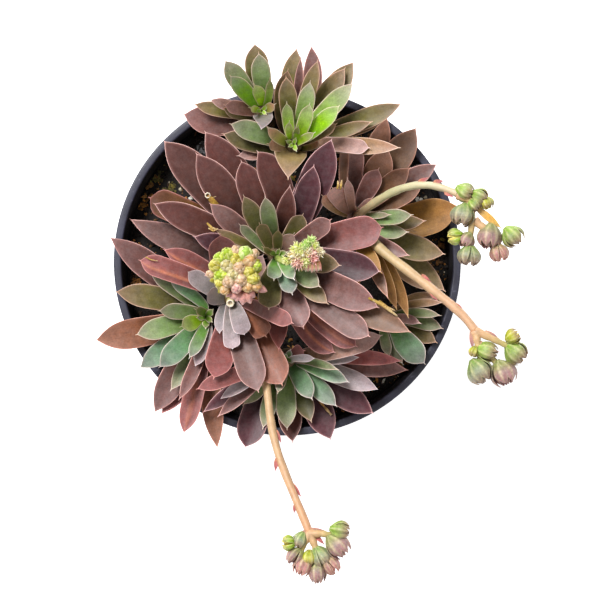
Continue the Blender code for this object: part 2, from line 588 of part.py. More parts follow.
# A leaf this wide is a node of its own, unless it is one of those kept on the stem
SEPARATE_WIDTH = 9.7
KEPT_ON_STEM = ("back_23", "crown_1")

# How far a stem's tip stands above its foot leaves, and the gap between a stalk and its head, in mm
STEM_TIP = 2.6
HEAD_GAP = 2.0

# Cut flower stalk in the middle left rosette: plan of foot and end, height and radius, in mm
STUMP = ((-23.9, -15.6), (-24.6, -17.8))
STUMP_HEIGHT = 10.0
STUMP_RADIUS = 1.6

# Rings along broad and narrow leaves, as shares of their length
BROAD_STATIONS = (0.0, 0.1, 0.3, 0.55, 0.78, 0.92)
NARROW_STATIONS = (0.0, 0.15, 0.4, 0.66, 0.88)


def clear_scene():
    for obj in list(bpy.data.objects):
        bpy.data.objects.remove(obj, do_unlink=True)


def collection(name, helpers=False):
    made = bpy.data.collections.new(name)
    bpy.context.scene.collection.children.link(made)
    made.hide_render = helpers
    return made


def material(name, colour, roughness):
    made = bpy.data.materials.get(name)
    if made:
        return made
    made = bpy.data.materials.new(name)
    made.use_nodes = True
    shader = made.node_tree.nodes["Principled BSDF"]
    shader.inputs["Base Color"].default_value = (*colour, 1.0)
    shader.inputs["Roughness"].default_value = roughness
    shader.inputs["Metallic"].default_value = 0.0
    made.diffuse_color = (*colour, 1.0)
    return made


def leaf_material(tone):
    return material("leaf_" + tone, LEAF_COLOURS[tone], 0.45)


def place(mesh, name, where, surface):
    obj = bpy.data.objects.new(name, mesh)
    obj.data.materials.append(surface)
    where.objects.link(obj)
    if where.hide_render:
        obj.hide_render = True
        obj.display_type = "WIRE"
    return obj


def shaped(name, rings, corners, position, where, surface):
    """A sphere whose rings are moved to position(level, angle); level 0 and rings + 1 are its ends."""
    bm = bmesh.new()
    bmesh.ops.create_uvsphere(bm, u_segments=corners, v_segments=rings + 1, radius=1)
    for vert in bm.verts:
        level = rings + 1 - round(acos(max(-1.0, min(1.0, vert.co.z))) / pi * (rings + 1))
        vert.co = position(level, atan2(vert.co.y, vert.co.x))
    bmesh.ops.recalc_face_normals(bm, faces=bm.faces)
    mesh = bpy.data.meshes.new(name)
    bm.to_mesh(mesh)
    bm.free()
    return place(mesh, name, where, surface)


def along(piece, s):
    """Plan point, side, half width, thickness and height of a laid piece at a share of its length."""
    point = [np.interp(s, piece["s"], piece["line"][:, k]) for k in (0, 1)]
    side = [np.interp(s, piece["s"], piece["side"][:, k]) for k in (0, 1)]
    sizes = (float(np.interp(s, piece["s"], piece[key])) for key in ("half", "thick", "height"))
    return point, side, *sizes


def leaf_point(piece, s, u, above):
    """A point on a leaf's skin: above is 1 for the upper side, 0 for the lower, or between."""
    point, side, half, thick, height = along(piece, s)
    upper, lower = section(u, half, thick)
    level = height + lower + (upper - lower) * above
    return in_sight(point[0] + side[0] * half * u, point[1] + side[1] * half * u, level)


def leaf_mesh(piece, stations, corners, first, where, surface, name):
    """A closed leaf from station first to the tip."""
    shares = [first + (1 - first) * s for s in stations]

    def position(level, angle):
        if level == 0:
            return leaf_point(piece, shares[0], 0.0, 0.5)
        if level > len(shares):
            return leaf_point(piece, 1.0, 0.0, 0.5)
        return leaf_point(piece, shares[level - 1], cos(angle), 1.0 if sin(angle) > -1e-6 else 0.0)

    return shaped(name, len(shares), corners, position, where, surface)


def clear_of_stem(piece):
    """The share of a leaf's length at which it leaves the stem, past the fit gap."""
    away = np.hypot(*(piece["line"] - piece["heart"]).T)
    return float(piece["s"][np.argmax(away > STEM_FOOT_RADIUS + JOINT_GAP)])


def stem(name, top_height, where, surface):
    """A rosette's stem, from the soil to its heart. Near the pot's wall its foot stands further in."""
    x, y, _ = HEARTS[name]
    lean = min(1.0, STEM_FOOT_REACH / np.hypot(x, y))
    room = RIM_RADIUS - RIM_WIDTH - 2 * JOINT_GAP - np.hypot(x, y)
    bottom = JOINT_GAP - SOIL_DEPTH
    middle = bottom + 0.7 * (top_height - bottom)
    rings = (
        (bottom, STEM_FOOT_RADIUS, lean),
        (middle, min(STEM_FOOT_RADIUS, room), 1.0),
        (top_height, STEM_TOP_RADIUS, 1.0),
    )

    def position(level, angle):
        height, radius, inward = rings[min(max(level - 1, 0), 2)]
        if level in (0, 4):
            radius = 0.0
        return in_sight(inward * x + radius * cos(angle), inward * y + radius * sin(angle), height)

    return shaped(name + "_stem", 3, 10, position, where, surface)


def stump(foot_height, where, surface):
    """What is left of a cut flower stalk, beside the heart of the middle left rosette."""
    ends = ((*STUMP[0], foot_height), (*STUMP[1], foot_height + STUMP_HEIGHT))

    def position(level, angle):
        x, y, height = ends[int(level > 1)]
        radius = 0.0 if level in (0, 3) else STUMP_RADIUS
        return in_sight(x + radius * cos(angle), y + radius * sin(angle), height)

    return shaped("stump", 2, 8, position, where, surface)


def join(base, others):
    """Joins the objects of a collection to base, as one solid."""
    union = base.modifiers.new("grown_together", "BOOLEAN")
    union.operation = "UNION"
    union.solver = "EXACT"
    union.use_self = True
    union.operand_type = "COLLECTION"
    union.collection = others


def stands_apart(row):
    return row[5] >= SEPARATE_WIDTH and row[0] not in KEPT_ON_STEM


def rosettes(laid, base, plant, helpers):
    """One node for each stem with its small leaves, and one for each broad leaf."""
    wood = material("stem", (0.20, 0.12, 0.06), 0.7)
    for name in HEARTS:
        small = bpy.data.collections.new(name + "_small_leaves")
        helpers.children.link(small)
        small.hide_render = True
        core = stem(name, base[name] + STEM_TIP, plant, wood)
        core.name = "rosette_" + name
        for row in LEAVES:
            if rosette_of(row[0]) != name:
                continue
            surface = leaf_material(row[6])
            if stands_apart(row):
                first = clear_of_stem(laid[row[0]])
                leaf_mesh(laid[row[0]], BROAD_STATIONS, 6, first, plant, surface, "leaf_" + row[0])
            else:
                leaf_mesh(laid[row[0]], NARROW_STATIONS, 4, 0.0, small, surface, row[0])
        if name == "mid_left":
            stump(base[name] - 1.0, small, wood)
        join(core, small)


def tube(name, piece, where, surface, first=0.0, last=1.0):
    """A round stalk along a laid piece, as a curve with a bevel made into a mesh."""
    curve = bpy.data.curves.new(name, "CURVE")
    curve.dimensions = "3D"
    curve.bevel_depth = MM
    curve.bevel_resolution = 1
    curve.use_fill_caps = True
    shares = np.linspace(first, last, 13)
    line = curve.splines.new("POLY")
    line.points.add(len(shares) - 1)
    for spot, s in zip(line.points, shares):
        point, _, half, _, height = along(piece, s)
        spot.co = (*in_sight(*point, height - half), 1.0)
        spot.radius = half
    guide = bpy.data.objects.new(name + "_guide", curve)
    mesh = bpy.data.meshes.new_from_object(guide)
    bpy.data.objects.remove(guide)
    return place(mesh, name, where, surface)


def bract(row, laid, where, surface):
    """A small leaf on a stalk."""
    stalk, root_x, root_y, tip_x, tip_y, width = row
    piece = laid[stalk]
    nearest = int(np.argmin(np.hypot(*(piece["line"] - (root_x, root_y)).T)))
    level = piece["height"][nearest] - piece["half"][nearest]
    s = np.linspace(0, 1, 31)
    toward = piece["line"][nearest] - (root_x, root_y)
    first = np.array([root_x, root_y]) + 0.6 * toward
    line = evenly(np.array([first, (root_x, root_y), (tip_x, tip_y)], float), s)
    half = 0.5 * width * outline(s, 0.5, 0.6, 2.0)
    made = dict(s=s, line=line, side=sideways(line), half=half)
    made["thick"] = 0.9 - 0.5 * s
    made["height"] = level + 0.4 + 1.5 * s
    return leaf_mesh(made, NARROW_STATIONS, 4, 0.0, where, surface, stalk + "_bract")


def ball(name, x, y, height, radius, tall, where, surface):
    """A bud: a ball drawn out upward, in plan position."""
    def position(level, angle):
        polar = pi * level / 5
        side = radius * sin(polar)
        return in_sight(x + side * cos(angle), y + side * sin(angle), height - tall * radius * cos(polar))

    return shaped(name, 4, 6, position, where, surface)


def branch(name, points, level, where, surface):
    """A thin branch of a flower head through plan points."""
    line = np.array(points, float)
    s = np.linspace(0, 1, 31)
    path = evenly(line, s)
    piece = dict(s=s, line=path, side=sideways(path), half=np.full(31, 1.1), thick=np.full(31, 2.2))
    piece["height"] = np.full(31, level)
    return tube(name, piece, where, surface, 0.0, 1.0)


def flower_head(stalk, laid, plant, helpers):
    """The branched head at the end of an arching stalk: branches and buds in one solid."""
    green = material("bud", (0.30, 0.42, 0.14), 0.5)
    level = laid[stalk]["height"][-1]
    parts = bpy.data.collections.new(stalk + "_head_parts")
    helpers.children.link(parts)
    parts.hide_render = True
    first, *rest = BRANCHES[stalk]
    end = laid[stalk]["line"][-1]
    base = branch(stalk.replace("stalk", "flowers"), first, level, plant, green)
    for points in rest:
        branch("twig", points, level, parts, green)
    for x, y, radius, up in BUDS[stalk]:
        ball("bud", x, y, level + 0.5 * up, radius, 1.1, parts, green)
    join(base, parts)
    return end


def dome_head(name, x, y, height, size, count, plant, helpers):
    """A tight domed head at the end of an upright stalk: buds packed round a core."""
    green = material("bud", (0.30, 0.42, 0.14), 0.5)
    parts = bpy.data.collections.new(name + "_parts")
    helpers.children.link(parts)
    parts.hide_render = True
    base = ball(name, x, y, height, 0.62 * size, 0.8, plant, green)
    for k in range(count):
        turn = k * 2.39996
        spread = size * 0.78 * ((k + 0.5) / count) ** 0.5
        up = height + 0.5 * size * (1 - (spread / size) ** 2)
        side, back = x + spread * cos(turn), y + spread * sin(turn)
        ball("bud", side, back, up, 0.26 * size, 1.3, parts, green)
    join(base, parts)


def stalks(laid, base, plant, helpers):
    """Five flower stalks with their bracts, and their heads."""
    cream = material("stalk", (0.62, 0.50, 0.33), 0.5)
    red = material("bract", (0.52, 0.13, 0.12), 0.5)
    for name in STALKS:
        piece = laid[name]
        away = np.hypot(*(piece["line"] - piece["heart"]).T)
        first = float(piece["s"][np.argmax(away > STEM_FOOT_RADIUS + 1.0)])
        length = np.hypot(*np.diff(piece["line"], axis=0).T).sum()
        last = 1 - HEAD_GAP / length if name in BUDS else 1.0
        obj = tube(name, piece, plant, cream, first, last)
        own = [row for row in BRACTS if row[0] == name]
        if own:
            bracts = bpy.data.collections.new(name + "_bracts")
            helpers.children.link(bracts)
            bracts.hide_render = True
            for row in own:
                bract(row, laid, bracts, red)
            join(obj, bracts)
    for name in BUDS:
        flower_head(name, laid, plant, helpers)
    mid, crown = laid["stalk_mid"], laid["stalk_crown"]
    dome_head("flowers_mid", -21.8, -5.0, mid["height"][-1] + 8.3, 13.0, 14, plant, helpers)
    dome_head("flowers_crown", 7.0, 2.8, crown["height"][-1] + 6.3, 10.2, 12, plant, helpers)


def dry_bits(laid, plant):
    straw = material("dry", (0.55, 0.33, 0.12), 0.8)
    for name in DRY:
        tube(name, laid[name], plant, straw)


def turned(name, profile, steps, where, surface):
    """A profile of radius and height, in mm, turned about the vertical axis."""
    bm = bmesh.new()
    spots = [bm.verts.new((r * MM, 0.0, z * MM)) for r, z in profile]
    for one, two in zip(spots, spots[1:]):
        bm.edges.new((one, two))
    mesh = bpy.data.meshes.new(name)
    bm.to_mesh(mesh)
    bm.free()
    obj = place(mesh, name, where, surface)
    screw = obj.modifiers.new("turned", "SCREW")
    screw.axis = "Z"
    screw.steps = steps
    screw.render_steps = steps
    screw.use_merge_vertices = True
    screw.merge_threshold = 0.00001
    return obj


def pot(where, helpers):
    """The pot: flat floor, tapered wall and a stout lip, with a ring of drain holes round the floor."""
    plastic = material("pot_plastic", (0.045, 0.043, 0.065), 0.5)
    inner_top = RIM_RADIUS - RIM_WIDTH
    lip_foot = POT_HEIGHT - POT_LIP_DEPTH
    profile = (
        (0.0, 0.0),
        (POT_FOOT_RADIUS - 1.2, 0.0),
        (POT_FOOT_RADIUS, 1.2),
        (POT_WALL_TOP_RADIUS, lip_foot),
        (RIM_RADIUS - 0.6, lip_foot + 0.4),
        (RIM_RADIUS, lip_foot + 1.4),
        (RIM_RADIUS, POT_HEIGHT - 1.0),
        (RIM_RADIUS - 1.0, POT_HEIGHT),
        (inner_top + 0.8, POT_HEIGHT),
        (inner_top, POT_HEIGHT - 0.8),
        (POT_FOOT_RADIUS - POT_WALL, POT_FLOOR),
        (0.0, POT_FLOOR),
    )
    obj = turned("pot", profile, 48, where, plastic)
    bm = bmesh.new()
    for k in range(DRAIN_HOLES):
        turn = 2 * pi * k / DRAIN_HOLES
        radius = DRAIN_HOLE_RADIUS * MM
        sizes = dict(segments=14, radius1=radius, radius2=radius, depth=8 * MM)
        made = bmesh.ops.create_cone(bm, cap_ends=True, **sizes)
        shift = Vector((cos(turn), sin(turn), 0.0)) * DRAIN_CIRCLE_RADIUS * MM
        bmesh.ops.translate(bm, verts=made["verts"], vec=shift)
    mesh = bpy.data.meshes.new("drain_cutters")
    bm.to_mesh(mesh)
    bm.free()
    cutter = place(mesh, "drain_cutters", helpers, plastic)
    holes = obj.modifiers.new("drain_holes", "BOOLEAN")
    holes.operation = "DIFFERENCE"
    holes.solver = "EXACT"
    holes.object = cutter


def soil(where):
    """The potting mix: it fills the pot to below the rim, with a slightly uneven top."""
    mix = material("potting_mix", (0.020, 0.014, 0.010), 0.95)
    foot, top = POT_FLOOR + JOINT_GAP, POT_HEIGHT - SOIL_DEPTH
    inner_foot = POT_FOOT_RADIUS - POT_WALL
    slope = (RIM_RADIUS - RIM_WIDTH - inner_foot) / (POT_HEIGHT - 0.8 - POT_FLOOR)
    wide = inner_foot + slope * (top - POT_FLOOR) - JOINT_GAP - 0.3
    narrow = inner_foot - JOINT_GAP - 0.3
    bm = bmesh.new()
    depth = (top - foot) * MM
    sizes = dict(segments=36, radius1=narrow * MM, radius2=wide * MM, depth=depth)
    bmesh.ops.create_cone(bm, cap_ends=True, **sizes)
    bmesh.ops.translate(bm, verts=bm.verts, vec=(0.0, 0.0, 0.5 * (top + foot) * MM))
    upper = max(bm.faces, key=lambda face: face.calc_center_median().z)
    for _ in range(5):
        bmesh.ops.inset_region(bm, faces=[upper], thickness=12.0 * MM, use_even_offset=True)
    for vert in bm.verts:
        if vert.co.z > (top - 1.0) * MM:
            vert.co.z -= (0.6 + 0.6 * noise.noise(vert.co * 60.0)) * MM
    mesh = bpy.data.meshes.new("soil")
    bm.to_mesh(mesh)
    bm.free()
    place(mesh, "soil", where, mix)


def build():
    clear_scene()
    plant = collection("potted_echeveria")
    helpers = collection("cutters_and_joined_parts", helpers=True)
    laid, base, _ = settle()
    pot(plant, helpers)
    soil(plant)
    rosettes(laid, base, plant, helpers)
    stalks(laid, base, plant, helpers)
    dry_bits(laid, plant)


build()
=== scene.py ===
"""Looks of a potted echeveria, seen from straight above: leaves, flower stalks, flower heads, soil and pot.

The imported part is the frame: metres, +Z up, origin in the middle of the pot's underside. The tables give sizes in mm.
Leaves and stalks are laid in the same order and by the same rules as in the part, so each one sits on its solid.
"""

from math import cos, pi, sin

import bmesh
import bpy
import numpy as np
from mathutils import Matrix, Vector, noise

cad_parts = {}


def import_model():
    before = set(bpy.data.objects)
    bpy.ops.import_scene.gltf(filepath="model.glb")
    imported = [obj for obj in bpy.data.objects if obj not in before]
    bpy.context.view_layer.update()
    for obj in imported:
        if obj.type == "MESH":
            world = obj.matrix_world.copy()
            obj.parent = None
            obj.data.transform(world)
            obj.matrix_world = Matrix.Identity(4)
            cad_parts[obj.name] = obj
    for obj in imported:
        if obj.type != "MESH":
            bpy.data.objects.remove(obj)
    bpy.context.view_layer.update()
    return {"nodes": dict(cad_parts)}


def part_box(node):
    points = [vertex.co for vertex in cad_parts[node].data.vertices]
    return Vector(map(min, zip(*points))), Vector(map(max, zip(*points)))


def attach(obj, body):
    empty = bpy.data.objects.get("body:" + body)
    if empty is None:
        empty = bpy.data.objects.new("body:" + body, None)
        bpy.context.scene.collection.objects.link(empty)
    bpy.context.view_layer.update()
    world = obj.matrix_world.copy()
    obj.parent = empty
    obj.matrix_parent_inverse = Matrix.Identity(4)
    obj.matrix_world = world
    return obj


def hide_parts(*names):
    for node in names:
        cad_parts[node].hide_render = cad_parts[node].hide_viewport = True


MM = 0.001

# Sight line and rim: the plan below is as seen from this height above the rim
CAMERA_X, CAMERA_Y = 5.5, -16.4
CAMERA_ABOVE_RIM = 700.0
RIM_Z = 115.0
RIM_RADIUS = 75.0
RIM_WIDTH = 4.2
SOIL_DEPTH = 12.0

# Rules by which the leaves lie on one another
STEM_FOOT_RADIUS = 6.0
STEM_TOP_RADIUS = 3.4
STEM_FOOT_REACH = 60.5
LEAF_GAP = 0.6
LEAF_STEP = 0.4
LIFT_WEIGHT = 3.0
YOUNG_REACH = 22.0
CELL = 0.8
REACH = 142.0

# Middle of each rosette in plan, and the height of its lowest leaf above the soil
HEARTS = {
    "crown": (-4.4, 3.0, 6.0),
    "mid_left": (-23.9, -15.5, 12.0),
    "left": (-35.1, -23.7, 3.0),
    "front": (-0.1, -42.0, 3.0),
    "back": (2.7, 50.8, 8.0),
    "back_left": (-10.9, 65.2, 9.5),
    "right": (28.5, 20.5, 4.0),
    "front_right": (41.7, -25.9, 3.0),
}

# Outlines that differ from a plain leaf: where it is widest, its foot's share of the width, and how blunt its
# tip is
PLAIN_SHAPE = (0.64, 0.6, 2.5)
SHAPES = {
    "back_2": (0.6, 0.6, 2.6),
    "back_12": (0.6, 0.7, 2.4),
    "back_13": (0.8, 0.6, 3.6),
    "back_19": (0.65, 0.6, 2.8),
    "back_22": (0.7, 0.6, 3.0),
    "back_23": (0.25, 0.95, 1.35),
    "back_24": (0.6, 0.7, 2.4),
    "back_25": (0.75, 0.7, 3.2),
    "back_26": (0.75, 0.7, 3.4),
    "back_29": (0.6, 0.8, 2.4),
    "back_left_12": (0.6, 0.8, 2.6),
    "back_left_13": (0.3, 0.9, 1.3),
    "back_left_7": (0.7, 0.7, 2.8),
    "crown_1": (0.58, 0.65, 2.4),
    "crown_2": (0.84, 0.8, 4.5),
    "crown_3": (0.64, 0.65, 2.8),
    "crown_4": (0.62, 0.65, 3.2),
    "crown_5": (0.62, 0.65, 2.8),
    "crown_6": (0.66, 0.6, 2.6),
    "crown_10": (0.66, 0.65, 3.0),
    "crown_11": (0.66, 0.65, 3.0),
    "crown_15": (0.5, 0.7, 2.2),
    "crown_16": (0.6, 0.7, 3.0),
    "crown_17": (0.72, 0.6, 4.6),
    "crown_18": (0.66, 0.65, 3.0),
    "crown_19": (0.6, 0.7, 2.6),
    "crown_20": (0.75, 0.7, 3.6),
    "crown_21": (0.78, 0.7, 3.8),
    "crown_23": (0.76, 0.7, 3.8),
    "crown_24": (0.64, 0.65, 2.6),
    "crown_25": (0.72, 0.7, 3.0),
    "crown_26": (0.7, 0.7, 3.6),
    "crown_27": (0.74, 0.7, 3.6),
    "crown_28": (0.76, 0.65, 3.6),
    "crown_32": (0.75, 0.7, 3.6),
    "crown_33": (0.78, 0.7, 4.0),
    "crown_35": (0.7, 0.7, 3.2),
    "crown_36": (0.74, 0.8, 3.8),
    "front_2": (0.72, 0.6, 3.0),
    "front_14": (0.7, 0.6, 3.0),
    "front_20": (0.7, 0.6, 2.8),
    "front_22": (0.7, 0.7, 3.0),
    "left_2": (0.6, 0.6, 2.2),
    "left_7": (0.72, 0.6, 3.2),
    "left_15": (0.7, 0.6, 3.0),
    "mid_left_1": (0.72, 0.55, 2.8),
    "mid_left_2": (0.74, 0.6, 3.4),
    "mid_left_3": (0.7, 0.6, 2.8),
    "mid_left_4": (0.76, 0.55, 3.2),
    "mid_left_5": (0.82, 0.5, 4.6),
    "mid_left_7": (0.75, 0.7, 3.6),
    "mid_left_8": (0.7, 0.6, 3.2),
    "mid_left_10": (0.72, 0.6, 3.0),
    "mid_left_11": (0.7, 0.6, 3.6),
    "mid_left_12": (0.6, 0.6, 2.8),
    "mid_left_13": (0.84, 0.5, 4.6),
    "mid_left_14": (0.74, 0.5, 3.6),
    "right_3": (0.64, 0.6, 3.0),
    "right_8": (0.76, 0.6, 3.0),
    "right_20": (0.68, 0.6, 2.6),
    "right_23": (0.74, 0.6, 3.0),
    "right_24": (0.76, 0.5, 3.4),
    "right_25": (0.82, 0.5, 4.2),
}
# Leaves that are wide from the very foot
WIDE_FEET = ("back_23", "back_left_13")

# Dried bits: the leaf that comes just after, radius, and the two ends in plan, in mm
DRY = {
    "dry_straw": ("front_4", 0.6, (11.6, -57.4), (19.0, -66.0)),
    "dry_stub": ("crown_6", 1.7, (-29.6, 23.4), (-34.2, 28.6)),
}


